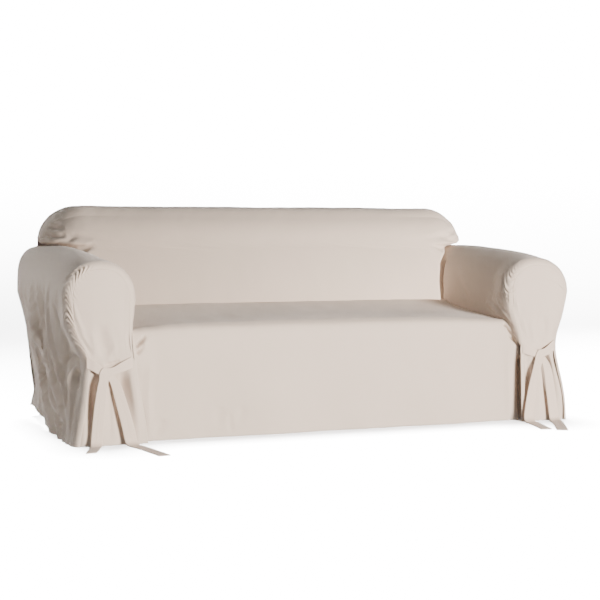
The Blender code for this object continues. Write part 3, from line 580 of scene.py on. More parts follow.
# %% Tables of the ties
Tie = namedtuple("Tie", "x y z half turned swung")
TIES = {
    "tie_left_outer": (
        Tie(-0.9350, -0.0012, 0.2965, 0.0205, 90, 0),
        Tie(-0.9240, -0.0032, 0.2915, 0.0200, 88, 0),
        Tie(-0.9100, -0.0070, 0.284, 0.0190, 84, 0),
        Tie(-0.8940, -0.0085, 0.272, 0.0160, 80, 0),
        Tie(-0.8760, -0.0090, 0.262, 0.0120, 72, 0),
        Tie(-0.8600, -0.0090, 0.250, 0.0115, 50, 0),
        Tie(-0.8450, -0.0090, 0.236, 0.0130, 28, 0),
        Tie(-0.8330, -0.0100, 0.214, 0.0165, 12, 0),
        Tie(-0.8220, -0.0110, 0.180, 0.0190, 6, 0),
        Tie(-0.8080, -0.0120, 0.130, 0.0205, 6, 0),
        Tie(-0.7920, -0.0130, 0.070, 0.0215, 4, 0),
        Tie(-0.7820, -0.0150, 0.022, 0.0220, 0, 0),
        Tie(-0.7780, -0.0240, 0.006, 0.0220, 0, 2),
        Tie(-0.7720, -0.0500, 0.0010, 0.0220, 0, 5),
        Tie(-0.7560, -0.1400, 0.0010, 0.0220, 0, 8),
        Tie(-0.7360, -0.2900, 0.0010, 0.0215, 0, 6),
    ),
    "tie_left_inner": (
        Tie(-0.7700, -0.0007, 0.292, 0.0210, 90, 0),
        Tie(-0.7850, -0.0055, 0.288, 0.0195, 94, 0),
        Tie(-0.8120, -0.0095, 0.277, 0.0170, 98, 0),
        Tie(-0.8380, -0.0108, 0.266, 0.0140, 100, 0),
        Tie(-0.8570, -0.0114, 0.262, 0.0150, 106, 0),
        Tie(-0.8680, -0.0120, 0.262, 0.0190, 128, 0),
        Tie(-0.8735, -0.0124, 0.252, 0.0195, 158, 0),
        Tie(-0.8760, -0.0122, 0.236, 0.0175, 174, 0),
        Tie(-0.8820, -0.0115, 0.205, 0.0185, 184, 0),
        Tie(-0.8900, -0.0110, 0.150, 0.0200, 185, 0),
        Tie(-0.8970, -0.0115, 0.085, 0.0210, 184, 0),
        Tie(-0.9030, -0.0145, 0.026, 0.0215, 182, 0),
        Tie(-0.9080, -0.0270, 0.006, 0.0215, 180, 6),
        Tie(-0.9200, -0.0550, 0.0010, 0.0215, 180, 10),
        Tie(-0.9550, -0.1500, 0.0010, 0.0215, 180, 14),
    ),
    "tie_right_inner": (
        Tie(0.8250, -0.0026, 0.293, 0.0185, 90, 0),
        Tie(0.8430, -0.0065, 0.286, 0.0175, 86, 0),
        Tie(0.8670, -0.0085, 0.277, 0.0160, 82, 0),
        Tie(0.8890, -0.0090, 0.270, 0.0125, 72, 0),
        Tie(0.9060, -0.0090, 0.258, 0.0115, 50, 0),
        Tie(0.9210, -0.0100, 0.242, 0.0130, 28, 0),
        Tie(0.9330, -0.0105, 0.216, 0.0165, 14, 0),
        Tie(0.9420, -0.0110, 0.180, 0.0190, 10, 0),
        Tie(0.9500, -0.0125, 0.125, 0.0205, 6, 0),
        Tie(0.9590, -0.0145, 0.065, 0.0215, 4, 0),
        Tie(0.9640, -0.0170, 0.022, 0.0220, 0, 0),
        Tie(0.9630, -0.0270, 0.006, 0.0220, 0, -6),
        Tie(0.9530, -0.0550, 0.0010, 0.0220, 0, -18),
        Tie(0.9060, -0.1500, 0.0010, 0.0220, 0, -28),
        Tie(0.8400, -0.2720, 0.0010, 0.0220, 0, -34),
    ),
    "tie_right_outer": (
        Tie(0.9740, -0.0004, 0.303, 0.0215, 90, 0),
        Tie(0.9570, -0.0060, 0.295, 0.0195, 96, 0),
        Tie(0.9350, -0.0104, 0.282, 0.0165, 100, 0),
        Tie(0.9170, -0.0114, 0.274, 0.0150, 106, 0),
        Tie(0.9050, -0.0120, 0.271, 0.0185, 128, 0),
        Tie(0.8985, -0.0124, 0.261, 0.0185, 158, 0),
        Tie(0.8940, -0.0122, 0.245, 0.0175, 176, 0),
        Tie(0.8860, -0.0116, 0.212, 0.0190, 188, 0),
        Tie(0.8720, -0.0110, 0.155, 0.0205, 190, 0),
        Tie(0.8590, -0.0120, 0.090, 0.0215, 188, 0),
        Tie(0.8490, -0.0150, 0.028, 0.0215, 184, 0),
        Tie(0.8460, -0.0280, 0.006, 0.0215, 180, -4),
        Tie(0.8420, -0.0560, 0.0010, 0.0215, 180, -8),
        Tie(0.8210, -0.1400, 0.0010, 0.0215, 180, -12),
        Tie(0.7950, -0.2300, 0.0010, 0.0215, 180, -14),
    ),
}

for name, table in TIES.items():
    print(name, "has", len(table), "stations")

# %% [markdown]
# Three small curves do nearly all the shaping: a straight ramp, an S-shaped ramp and a mound. A table is
# read as one smooth curve through its rows. Modifiers could bend a plain grid as well, but each would have
# to be tuned by eye, and these follow the measurements by themselves.

# %% Curves and ramps
def line(low, high, value):
    """0 at low and 1 at high, straight between them."""
    return np.clip((value - low) / (high - low), 0.0, 1.0)


def ramp(low, high, value):
    """0 at low and 1 at high, with an S-shaped way between."""
    share = line(low, high, value)
    return share * share * (3.0 - 2.0 * share)


def mound(middle, half, value):
    """1 at the middle, falling softly to 0 at half to either side."""
    share = np.clip(np.abs(value - middle) / half, 0.0, 1.0)
    return (1.0 - share * share) ** 2


def mix(first, second, share):
    """The first at a share of 0, and the second at 1."""
    return first * (1.0 - share) + second * share


def read(table, key, column, at):
    """One column of a table as a smooth curve through its rows, read at the given keys."""
    keys = np.array([getattr(row, key) for row in table])
    values = np.array([getattr(row, column) for row in table])
    slopes = np.gradient(values, keys)
    at = np.clip(at, keys[0], keys[-1])
    row = np.clip(np.searchsorted(keys, at) - 1, 0, len(keys) - 2)
    step = keys[row + 1] - keys[row]
    share = (at - keys[row]) / step
    rest = 1.0 - share
    return (
        values[row] * rest * rest * (1.0 + 2.0 * share)
        + values[row + 1] * share * share * (3.0 - 2.0 * share)
        + slopes[row] * step * share * rest * rest
        - slopes[row + 1] * step * share * share * rest
    )


print("half way back, an arm is", round(float(read(ARM_TOP, "depth", "top", REAR_SEAM / 2)), 3), "m high")

# %% [markdown]
# Each surface below is a function that turns a cell and a row of the pattern into a point in space. It can
# be read as finely as one likes, so the coarse solid and the fine cloth share it. The arm comes first. Its
# outer side hangs in folds, its inner side is nearly flat, and its top is a round arch. Each side is one
# distance from the seat's middle that changes with depth and height, so a fold is only a number added.

# %% The arm's sides and arch
def hem_height(arm, depth):
    """The side hem rides up towards the rear corner."""
    return arm.rear_hem * ramp(0.25, 0.88, depth)


def outer_line(arm, depth, height):
    """Distance from the middle to the arm's outer side, with its hanging folds."""
    drawn = read(arm.waist, "height", "outer", height)
    hang = mix(arm.foot, arm.outer, ramp(0.05, ARM_WIDEST, height))
    rear = read(arm.waist, "height", "rear", height)
    out = mix(drawn, hang, ramp(0.04, 0.22, depth))
    out = mix(out, rear, ramp(0.45, 0.88, depth))
    for fold in arm.folds:
        down = (fold.top_z - height) / (fold.top_z - fold.foot_z)
        middle = mix(fold.top_y, fold.foot_y, down)
        fade = ramp(0.0, 0.35, down) * (1.0 - 0.5 * ramp(0.7, 1.1, down))
        out = out + fold.height * fade * mound(middle, fold.width, depth)
    return out


def inner_line(arm, depth, height):
    """Distance from the middle to the arm's inner face: its front swells towards the seat."""
    drawn = read(arm.waist, "height", "inner", height)
    return mix(drawn, ARM_INNER, ramp(0.04, 0.16, depth))


def arch(arm, depth):
    """Middle, half width and height of the round top at a depth."""
    inner = inner_line(arm, depth, ARM_WIDEST)
    outer = outer_line(arm, depth, ARM_WIDEST)
    return (inner + outer) / 2, (outer - inner) / 2, read(ARM_TOP, "depth", "top", depth) - ARM_WIDEST


for arm in ARMS:
    print("the", arm.word, "arm's arch is", round(2 * float(arch(arm, 0.0)[1]), 3), "m wide in front")

# %% [markdown]
# A section goes up the inner face, over the arch and down the outer side. Towards the rear the arch gets
# squarer. A superellipse makes that change with one number, and a circle couldn't.

# %% The arm's section
def on_seat(depth):
    """1 over most of the seat, 0 at its front edge and at the crease."""
    return ramp(0.04, 0.12, depth) * (1.0 - ramp(0.48, 0.57, depth))


def seat_side(depth):
    """Height of the seat where it meets an arm."""
    return read(SEAT_TOP, "depth", "height", depth) - SIDE_DROP * on_seat(depth)


def arm_section(arm, cell, depth, foot_depth):
    """The arm's section at a depth: from the inner foot, over the top, to the outer hem."""
    foot = mix(BAND_FOOT, seat_side(foot_depth) - CLOTH, ramp(0.0, 0.060, foot_depth))
    inner_z = mix(foot, ARM_WIDEST, line(0, INNER_CELLS, cell))
    inner_x = inner_line(arm, depth, inner_z)

    middle, half, crown = arch(arm, depth)
    angle = np.pi * (1.0 - line(INNER_CELLS, INNER_CELLS + ARCH_CELLS, cell))
    cosine, sine = np.cos(angle), np.sin(angle)
    squarer = mix(ARM_ROUND, REAR_ROUND, ramp(0.35, 0.88, depth))
    power = 2.0 / np.where(cosine > 0, squarer, ARM_ROUND)
    arch_x = middle + half * np.sign(cosine) * np.abs(cosine) ** power
    arch_z = ARM_WIDEST + crown * np.abs(sine) ** power

    outer_z = mix(ARM_WIDEST, TIE_LEVEL, line(INNER_CELLS + ARCH_CELLS, SEAM_CELLS, cell))
    outer_z = mix(outer_z, hem_height(arm, depth), line(SEAM_CELLS, ARM_CELLS, cell))
    outer_x = outer_line(arm, depth, outer_z)

    on_inner, on_outer = cell <= INNER_CELLS, cell >= INNER_CELLS + ARCH_CELLS
    out = np.where(on_inner, inner_x, np.where(on_outer, outer_x, arch_x))
    height = np.where(on_inner, inner_z, np.where(on_outer, outer_z, arch_z))
    return out, height


print("beside an arm the seat lies", round(float(seat_side(0.3)), 3), "m high")

# %% [markdown]
# The arm panel is one piece of cloth over the whole arm. At its front edge it turns forward and is gathered
# onto the rounded front, which is why the band puckers. The turn is a quarter circle drawn inwards along
# the section's own normal. A bevel would make it too, but with the same width all the way round.

# %% The arm panel's surface
NEARBY = 0.05             # cells to either side of a point, to find which way the section runs
CLOSER = 0.25             # how much closer together the rows lie in front


def measure(word, shape, cells, rows):
    """Print how far a surface reaches along X, Y and Z, from one point for each cell and row."""
    across, up = np.meshgrid(np.arange(cells + 1.0), np.arange(rows + 1.0), indexing="ij")
    reach = np.ptp(shape(across.ravel(), up.ravel()), axis=0)
    print("the", word, "spans", " by ".join(f"{side:.3f}" for side in reach), "m")


def band_width(cell):
    """The band is widest round the head, narrow at the inner tie, and a strip below the outer one."""
    wide = mix(BAND_LEAST, BAND, ramp(-1.0, INNER_CELLS, cell))
    return mix(wide, STRIP, ramp(SEAM_CELLS - 4, SEAM_CELLS, cell))


def arm_panel(arm, cell, row):
    """The whole panel: its first rows turn the front edge, and the rest runs to the rear."""
    turn = np.radians(90.0) * line(0, BAND_ROWS, row)
    back = line(BAND_ROWS, ARM_ROWS, row)
    back = mix(back, back * back, CLOSER)
    end = mix(TUCK_Y, REAR_SEAM, ramp(INNER_CELLS, INNER_CELLS + 8, cell))
    depth = mix(BAND_DEPTH, end, back)

    turned_depth = depth - BAND_DEPTH * np.cos(turn)
    out, height = arm_section(arm, cell, depth, turned_depth)
    out_ahead, height_ahead = arm_section(arm, cell + NEARBY, depth, turned_depth)
    out_behind, height_behind = arm_section(arm, cell - NEARBY, depth, turned_depth)
    run = np.hypot(out_ahead - out_behind, height_ahead - height_behind) + TINY
    normal_out = (height_behind - height_ahead) / run
    normal_up = (out_ahead - out_behind) / run

    inset = band_width(cell) * (1.0 - np.sin(turn))
    out = out - inset * normal_out
    height = height - inset * normal_up
    height = np.where(cell >= ARM_CELLS, hem_height(arm, turned_depth), height)
    return np.stack([arm.side * out, turned_depth, height], axis=-1)


for arm in ARMS:
    measure(f"{arm.word} arm panel", partial(arm_panel, arm), ARM_CELLS, ARM_ROWS)

# %% [markdown]
# The arm front is a rounded facing above the tie and a loose flap below it, cut as one piece. The facing is
# spanned between the four stretches of its seam, so its rows and columns run evenly across it. A flat cap
# filled in by an operator would have neither, and couldn't crease.

# %% The arm front's surface
def seam(arm, cell):
    """The line of the seam round the arm front, which is the arm panel's first row."""
    return arm_panel(arm, cell, np.zeros_like(cell))


def arm_front(arm, cell, row):
    """The rounded facing above the tie, as one sheet with the loose flap below it."""
    across = cell / FRONT_CELLS
    up = line(FLAP_ROWS, FLAP_ROWS + HEAD_ROWS, row)
    a, u = across[..., None], up[..., None]

    # The facing is stretched between the four stretches of its border.
    outer = seam(arm, SEAM_CELLS - HEAD_ROWS * up)
    inner = seam(arm, HEAD_ROWS * up)
    top = seam(arm, SEAM_CELLS - HEAD_ROWS - FRONT_CELLS * across)
    outer_foot, inner_foot = seam(arm, np.full_like(up, SEAM_CELLS)), seam(arm, np.zeros_like(up))
    outer_top = seam(arm, np.full_like(up, SEAM_CELLS - HEAD_ROWS))
    inner_top = seam(arm, np.full_like(up, HEAD_ROWS))
    foot = mix(outer_foot, inner_foot, a)
    head = mix(foot, top, u) + mix(outer, inner, a) - mix(foot, mix(outer_top, inner_top, a), u)
    swell = 16.0 * across * (1.0 - across) * up * (1.0 - up)
    head[..., 1] -= FACING_SWELL * np.maximum(swell, 0.0) ** 1.2
    head[..., 1] += KNOT_HOLLOW * mound(0.45, 0.20, across) * mound(0.0, 0.45, up) * ramp(0.0, 0.1, up)

    # The flap's outer edge slips behind the arm panel's strip, and its inner edge is free.
    down = 1.0 - line(0, FLAP_ROWS, row)
    height = TIE_LEVEL * (1.0 - down)
    outer_edge = read(arm.waist, "height", "outer", height) - STRIP
    outer_edge = outer_edge - mix(FLAP_SHORT, -FLAP_PAST, ramp(0.13, 0.30, down))
    inner_edge = read(arm.waist, "height", "inner", height)
    hollow = sum(each.depth * mound(each.across, each.half, across) for each in arm.hollows)
    hollow = hollow * (1.0 - 0.85 * ramp(0.30, 0.95, down))
    behind = FLAP_SLIP * (1.0 - ramp(0.0, 0.10, across))
    depth = ramp(0.0, 0.30, down) * (FLAP_SET + hollow + behind)
    flap = np.stack([arm.side * mix(outer_edge, inner_edge, across), depth, height], axis=-1)
    return np.where((row >= FLAP_ROWS)[..., None], head, flap)


for arm in ARMS:
    measure(f"{arm.word} arm front", partial(arm_front, arm), FRONT_CELLS, FLAP_ROWS + HEAD_ROWS)

# %% [markdown]
# The real seat and front skirt are cut as one length of cloth that turns over the front edge. Here it is
# one surface too: its rows run from the back of the seat, round the edge, and down to the hem. Two panels
# would show a seam that the cover doesn't have.

# %% The surface of the seat and skirt
def skirt_edge(arm, depth, height):
    """The panel's side edge: along the arm's inner face, then down to the hem beside the arm front."""
    beside = inner_line(arm, depth, seat_side(np.maximum(depth, 0.072)))
    front = read(arm.waist, "height", "skirt", height)
    return mix(front, beside, ramp(0.040, 0.075, depth))


def seat_and_skirt(cell, row):
    """Seat and skirt in one, crowned on top, with slow waves along the hem and pulled corners."""
    across, along = cell / SEAT_CELLS, row / SEAT_ROWS
    depth = read(SEAT_PATH, "step", "depth", along)
    height = read(SEAT_PATH, "step", "height", along)
    x = mix(-skirt_edge(ARMS[0], depth, height), skirt_edge(ARMS[1], depth, height), across)

    crowned = 1.0 - (2.0 * across - 1.0) ** 4
    height = height - SIDE_DROP * on_seat(depth) * (1.0 - crowned)
    crown = SEAT_CROWN * crowned * (0.5 + 0.5 * ramp(0.0, 0.2, along))
    height = height + crown * (1.0 - ramp(0.56, 0.9, along))
    sat = mound(-0.35, 0.40, x) + mound(0.38, 0.38, x)
    height = height - SAT_DOWN * sat * mound(0.26, 0.22, along)

    waves = np.sin(9.5 * x + 0.6) + 0.6 * np.sin(17.0 * x + 2.0)
    depth = depth + ramp(0.62, 1.0, along) * (HEM_SET + HEM_WAVE * waves)
    corners = mound(0.0, 0.06, across) + mound(1.0, 0.06, across)
    depth = depth - CORNER_PULL * corners * mound(0.31, 0.09, height) * ramp(0.5, 0.6, along)
    height = np.where(row >= SEAT_ROWS, 0.0, height)
    return np.stack([x, depth, height], axis=-1)


measure("seat and skirt", seat_and_skirt, SEAT_CELLS, SEAT_ROWS)

# %% [markdown]
# The inside back is a flat face that turns back beside each arm, and above the arms it swells into an ear
# at each end. Two simple shapes, a lower one and an upper one, are blended at the height of the arms. One
# box with rounded edges couldn't have the notch that the arms make.

# %% The surface of the inside back
def rounded(point, core, radii):
    """A point of a sharp box, drawn to the same box with rounded edges. Core is its nearest point inside."""
    offset = [(p - c) / r for p, c, r in zip(point, core, radii)]
    away = np.sqrt(sum(each * each for each in offset)) + TINY
    return [c + r * each / away for c, r, each in zip(core, radii, offset)]


def beside_arms(wrap, face, height):
    """Lower part of the inside back: a flat face whose sides turn back beside the arms."""
    half = read(BACK_SIDE, "height", "half", height)
    turn = read(BACK_SIDE, "height", "turn", height)
    front = read(BACK_LEAN, "height", "depth", height)
    as_ear = ramp(0.66, 0.71, height)
    turn_x, turn_y = (mix(low, ear, as_ear) for low, ear in zip(CORNER_TURN, EAR_FRONT_TURN))
    angle = np.radians(90.0) * line(0.0, TURN_SHARE, wrap)
    reach = np.minimum(turn, REAR_SEAM - front)
    straight = np.maximum(reach - turn_y, 0.001) * line(TURN_SHARE, 1.0, wrap)
    x = face * (half - turn_x) + turn_x * np.sin(angle)
    y = front + turn_y * (1.0 - np.cos(angle)) + straight
    return x, y, height


def over_ears(wrap, face, height, back):
    """Upper part: a box with rounded edges. Beyond its corner the cloth is spread round the upper edge."""
    rx, ry, rz = EAR_TURN
    core_x, core_z = EAR_HALF - rx, BACK_TOP - rz
    spread_side, spread_top = SPREAD * ramp(0.0, 0.6, wrap), SPREAD * ramp(0.0, 0.6, back)
    low, high = np.tan(np.radians(45.0 - spread_side)), np.tan(np.radians(45.0 - spread_top))
    x = EAR_HALF * np.where(wrap > 0, 1.0, face)
    x = np.where((back > 0) & (x > core_x), core_x + (x - core_x) * high, x)
    z = np.where((wrap > 0) & (height > core_z), core_z + (height - core_z) * low, height)

    most, least = np.maximum(wrap, back), np.minimum(wrap, back)
    half_way = 0.5 * least / (most + TINY)
    slant = np.where(wrap >= back, half_way, 1.0 - half_way)
    lean = np.radians(mix(45.0 - spread_side, 45.0 + spread_top, slant))
    larger = np.maximum(np.cos(lean), np.sin(lean))
    corner = (wrap > 0) & (back > 0)
    x = np.where(corner, core_x + rx * np.cos(lean) / larger, x)
    z = np.where(corner, core_z + rz * np.sin(lean) / larger, z)
    front = read(BACK_LEAN, "height", "depth", z)
    y = mix(front, REAR_SEAM, most)
    core = (np.minimum(x, core_x), np.maximum(y, front + ry), np.minimum(z, core_z))
    return rounded((x, y, z), core, EAR_TURN)


def inside_back(cell, row):
    """Face and top of the back. Its outer cells turn back beside the arms, and round the two ears."""
    across = 2.0 * cell / BACK_CELLS - 1.0
    wrap = line(FACE_SHARE, 1.0, np.abs(across))
    face = line(0.0, FACE_SHARE, np.abs(across))
    height = read(BACK_ROWS, "row", "height", row)
    back = line(FACE_ROWS, FACE_ROWS + TOP_ROWS, row)
    lower = beside_arms(wrap, face, np.minimum(height, 0.80))
    upper = over_ears(wrap, face, height, back)
    x, y, z = (mix(low, high, ramp(0.710, 0.775, height)) for low, high in zip(lower, upper))
    return np.stack([np.sign(across) * x, y, z], axis=-1)


measure("inside back", inside_back, BACK_CELLS, FACE_ROWS + TOP_ROWS)

# %% [markdown]
# The outside back is the plain panel behind. Its two sides and its top turn forward by a small round, to
# meet the arms and the inside back at their seams. Its outline is worked out from theirs and not drawn
# anew, so a change to an arm's table can't open a gap.

# %% The surface of the outside back
def rear_outline(arm, height):
    """Half width of the cover at its rear: the arm's outer side, its round top, then the ear."""
    middle, half, crown = arch(arm, np.full_like(height, REAR_SEAM))
    rest = 1.0 - line(0.0, 1.0, (height - ARM_WIDEST) / crown) ** REAR_ROUND
    over = middle + half * rest ** (1 / REAR_ROUND)
    rx, _, rz = EAR_TURN
    lift = line(BACK_TOP - rz, BACK_TOP, height)
    ear = EAR_HALF - rx + rx * np.sqrt(1.0 - lift * lift)
    hanging = outer_line(arm, np.full_like(height, REAR_SEAM), height)
    upper = np.where(height < REAR_NOTCH, np.maximum(over, ear), ear)
    return np.where(height < ARM_WIDEST, hanging, upper)


def outside_back(cell, row):
    """A flat panel whose sides and top turn forward to meet the other panels."""
    over_turn = np.radians(90.0) * line(REAR_UP, REAR_UP + TURN_CELLS, row)
    height = read(REAR_ROWS, "row", "height", row) + REAR_TURN * np.sin(over_turn)
    across = line(TURN_CELLS, REAR_CELLS - TURN_CELLS, cell) * 2.0 - 1.0
    from_side = np.minimum(cell, REAR_CELLS - cell)
    side_turn = np.radians(90.0) * (1.0 - line(0, TURN_CELLS, from_side))

    left, right = (rear_outline(arm, height) - REAR_TURN for arm in ARMS)
    x = mix(-left, right, (across + 1.0) / 2)
    x = x + np.sign(cell - REAR_CELLS / 2) * REAR_TURN * np.sin(side_turn)
    y = REAR_SEAM + REAR_TURN * np.cos(side_turn) * np.cos(over_turn)
    y = y + REAR_WAVE * np.sin(5.0 * x + 1.0) * (1.0 - ramp(0.1, 0.7, height)) * np.cos(side_turn)
    corner_hem = np.where(cell < REAR_CELLS / 2, ARMS[0].rear_hem, ARMS[1].rear_hem)
    hem = corner_hem * ramp(0.35, 0.95, np.abs(across))
    z = np.where(height < HEM_REACH, mix(hem, height, line(0.0, HEM_REACH, height)), height)
    return np.stack([x, y, z], axis=-1)


measure("outside back", outside_back, REAR_CELLS, REAR_UP + TURN_CELLS)

# %% [markdown]
# A tie is a narrow strip of the same cloth, folded double. Its table gives the middle of the strip, the way
# across it and its width at each station, so it can lie flat on the cloth and turn over.

# %% The surface of a tie
Numbered = namedtuple("Numbered", ("row", *Tie._fields))


def tie(stations, cell, row):
    """The strip through a tie's stations. It never dips into the surface that its free end lies on."""
    table = [Numbered(index, *station) for index, station in enumerate(stations)]
    x, y, z, half, turned, swung = (read(table, "row", column, row) for column in Tie._fields)
    turned, swung = np.radians(turned), np.radians(swung)
    side = (2.0 * cell / TIE_CELLS - 1.0) * half
    x = x + side * np.cos(turned) * np.cos(swung)
    y = y + side * np.cos(turned) * np.sin(swung)
    z = np.maximum(z + side * np.sin(turned), TIE_CLOTH)
    return np.stack([x, y, z], axis=-1)


for name, table in TIES.items():
    measure(name, partial(tie, table), TIE_CELLS, len(table) - 1)

# %% [markdown]
# A crease is a soft trough or ridge along a bent line. Each is one row of a table: three points on the
# cloth, each by two distances in metres, then its half width and height. A negative height is a trough.
# Sculpting would make them as well, but a row in a table can be moved, and gives the same crease each run.

# %% Creases
Crease = namedtuple("Crease", "u1 v1 u2 v2 u3 v3 width height")
CREASE_STEPS = 14
CREST, FOOT = 0.25, 1.8          # in widths: how round a crest is, and how far its foot reaches


def crease_height(crease, u, v):
    """Height of one crease at each point of the cloth, fading out towards its two ends."""
    share = np.linspace(0.0, 1.0, CREASE_STEPS + 1)
    bend_u = 2 * crease.u2 - (crease.u1 + crease.u3) / 2
    bend_v = 2 * crease.v2 - (crease.v1 + crease.v3) / 2
    line_u = crease.u1 * (1 - share) ** 2 + 2 * bend_u * share * (1 - share) + crease.u3 * share**2
    line_v = crease.v1 * (1 - share) ** 2 + 2 * bend_v * share * (1 - share) + crease.v3 * share**2
    nearest, along = np.full(u.shape, np.inf), np.zeros(u.shape)
    for step in range(CREASE_STEPS):
        du, dv = line_u[step + 1] - line_u[step], line_v[step + 1] - line_v[step]
        t = ((u - line_u[step]) * du + (v - line_v[step]) * dv) / (du * du + dv * dv + SPECK)
        t = np.clip(t, 0.0, 1.0)
        off = np.hypot(u - line_u[step] - t * du, v - line_v[step] - t * dv)
        along = np.where(off < nearest, (step + t) / CREASE_STEPS, along)
        nearest = np.minimum(off, nearest)
    fade = np.sin(np.pi * np.clip(along, 0.0, 1.0)) ** 0.6
    blunt = CREST * crease.width
    slope = 1.0 - (np.hypot(nearest, blunt) - blunt) / (FOOT * crease.width)
    return crease.height * fade * np.maximum(slope, 0.0) ** 1.3


def creased(table, u, v):
    """All the creases of a table together."""
    return sum(crease_height(each, u, v) for each in table)


foot_reach = float(np.sqrt((FOOT + CREST) ** 2 - CREST**2))
print("a crease reaches", round(foot_reach, 2), "times its half width to each side")

# %% [markdown]
# Cloth that is held at two points gets fine slack ripples. They are smooth noise stretched one way, worked
# out on a small lattice of random numbers. A displacement texture would do it too, but its patches couldn't
# follow the cloth's own length and width.

# %% Slack
LATTICE, LATTICE_START = 64, 20.0                   # its random numbers each way, and where a panel starts
PLEAT_TOP, PLEAT_FALL, PLEAT_CREST = 0.7, 2.0, 0.12     # a pleat's level, its fall, and its crest's roundness
Slack = namedtuple("Slack", "height along up seed")


def ripple(u, v, long_u, long_v, seed):
    """Smooth noise between -1 and 1, whose patches are long_u by long_v metres."""
    rng = np.random.default_rng(seed)
    lattice = rng.uniform(-1.0, 1.0, (LATTICE, LATTICE))
    a, b = u / long_u + LATTICE_START, v / long_v + LATTICE_START
    i, j = np.floor(a).astype(int), np.floor(b).astype(int)
    s, t = a - i, b - j
    s, t = s * s * (3 - 2 * s), t * t * (3 - 2 * t)

    def at(di, dj):
        return lattice[(i + di) % LATTICE, (j + dj) % LATTICE]

    low = at(0, 0) * (1 - s) + at(1, 0) * s
    high = at(0, 1) * (1 - s) + at(1, 1) * s
    return low * (1 - t) + high * t


def slack(u, v, *waves):
    """Several ripples together, from the broad to the fine."""
    return sum(wave.height * ripple(u, v, wave.along, wave.up, wave.seed) for wave in waves)


def pleats(u, v, long_u, long_v, seed):
    """Noise with sharp crests and round valleys, for cloth that hangs in slack folds."""
    return PLEAT_TOP - PLEAT_FALL * np.hypot(ripple(u, v, long_u, long_v, seed), PLEAT_CREST)


pleat_lowest = PLEAT_TOP - PLEAT_FALL * float(np.hypot(1.0, PLEAT_CREST))
pleat_highest = PLEAT_TOP - PLEAT_FALL * PLEAT_CREST
print("pleats lie between", round(pleat_lowest, 2), "and", round(pleat_highest, 2), "of their height")

# %% [markdown]
# Every panel starts as an even flat grid, which bmesh makes in one call. It carries two numbers at each
# point for the material: the distance to a hem, and how deep in a fold the point lies, which the material
# turns into painted shade. The grid's lines lie closer together where the cloth has its finest folds.

# %% A flat grid
def run_lengths(places, axis):
    """How far each point lies along the cloth from the grid's first line."""
    steps = np.linalg.norm(np.diff(places, axis=axis), axis=-1)
    whole = np.cumsum(steps, axis=axis)
    start = np.zeros_like(np.take(whole, [0], axis=axis))
    return np.concatenate([start, whole], axis=axis)


def stations(*runs):
    """Where the grid's lines lie, counted in the model's cells: each run is (cells, quads in each)."""
    made, start = [np.zeros(1)], 0
    for cells, quads in runs:
        made.append(start + np.arange(1, cells * quads + 1) / quads)
        start += cells
    return np.concatenate(made)


def flat_grid(columns, lines):
    """A grid with its layers, and the column and row that each of its points is in."""
    grid = bmesh.new()
    grid.loops.layers.uv.new("cloth")
    for attribute in ("hem", "deep"):
        grid.verts.layers.float.new(attribute)
    bmesh.ops.create_grid(grid, x_segments=columns, y_segments=lines, size=0.5)
    grid.verts.ensure_lookup_table()
    flat = np.array([point.co for point in grid.verts])
    column = np.round((flat[:, 0] + 0.5) * columns).astype(int)
    row = np.round((flat[:, 1] + 0.5) * lines).astype(int)
    return grid, column, row


seat_cell = 2 * ARM_INNER / SEAT_CELLS
print("with 7 quads to a cell, the seat's lines lie", round(1000 * seat_cell / 7, 1), "mm apart")

# %% [markdown]
# The grid is then laid on the panel's surface. Its distances along and up the cloth become the UV map in
# metres, and the creases and the hem push it out or in along its own normal. Solidify gives it the
# thickness of duck towards the inside. A cloth simulation would fold it as well, but this cover takes its
# shape from what it is stretched over, which isn't part of the model.

# %% Laying a panel
THICK = 0.0016                           # plain duck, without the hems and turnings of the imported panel
HEM_WIDE, HEM_RAISED = 0.020, 0.0006
HEM_FROM, HEM_TO = HEM_WIDE - 0.003, HEM_WIDE + 0.002      # the turned edge of a hem is this soft
SEAM_FLAT = 0.007                        # creases die out this close to a seam
SHADE_FROM, SHADE_FULL = 0.004, 0.024    # depths between which a fold's bottom gets its painted shade


def to_nearest(edges, sides):
    """Distance to the nearest of some sides of the panel, and at most a metre."""
    nearest = np.full(edges["first"].shape, 1.0)
    for side in sides:
        nearest = np.minimum(nearest, edges[side])
    return nearest


def write_layers(grid, column, row, u, v, to_hem, deep):
    """Write the UV map and the two numbers for the material."""
    cloth_map = grid.loops.layers.uv["cloth"]
    hem_layer, deep_layer = (grid.verts.layers.float[attribute] for attribute in ("hem", "deep"))
    for face in grid.faces:
        for loop in face.loops:
            c, r = column[loop.vert.index], row[loop.vert.index]
            loop[cloth_map].uv = (u[c, r], v[c, r])
    for point, c, r in zip(grid.verts, column, row):
        point[hem_layer], point[deep_layer] = to_hem[c, r], deep[c, r]


def finish_panel(name, grid, material, thick):
    """The panel as an object, with its material and its thickness."""
    mesh = bpy.data.meshes.new(name)
    grid.to_mesh(mesh)
    grid.free()
    mesh.shade_smooth()
    mesh.materials.append(material)
    piece = bpy.data.objects.new(name, mesh)
    bpy.context.scene.collection.objects.link(piece)
    wall = piece.modifiers.new("thickness of the duck", "SOLIDIFY")
    wall.thickness, wall.offset, wall.use_even_offset = thick, -1.0, False
    return piece


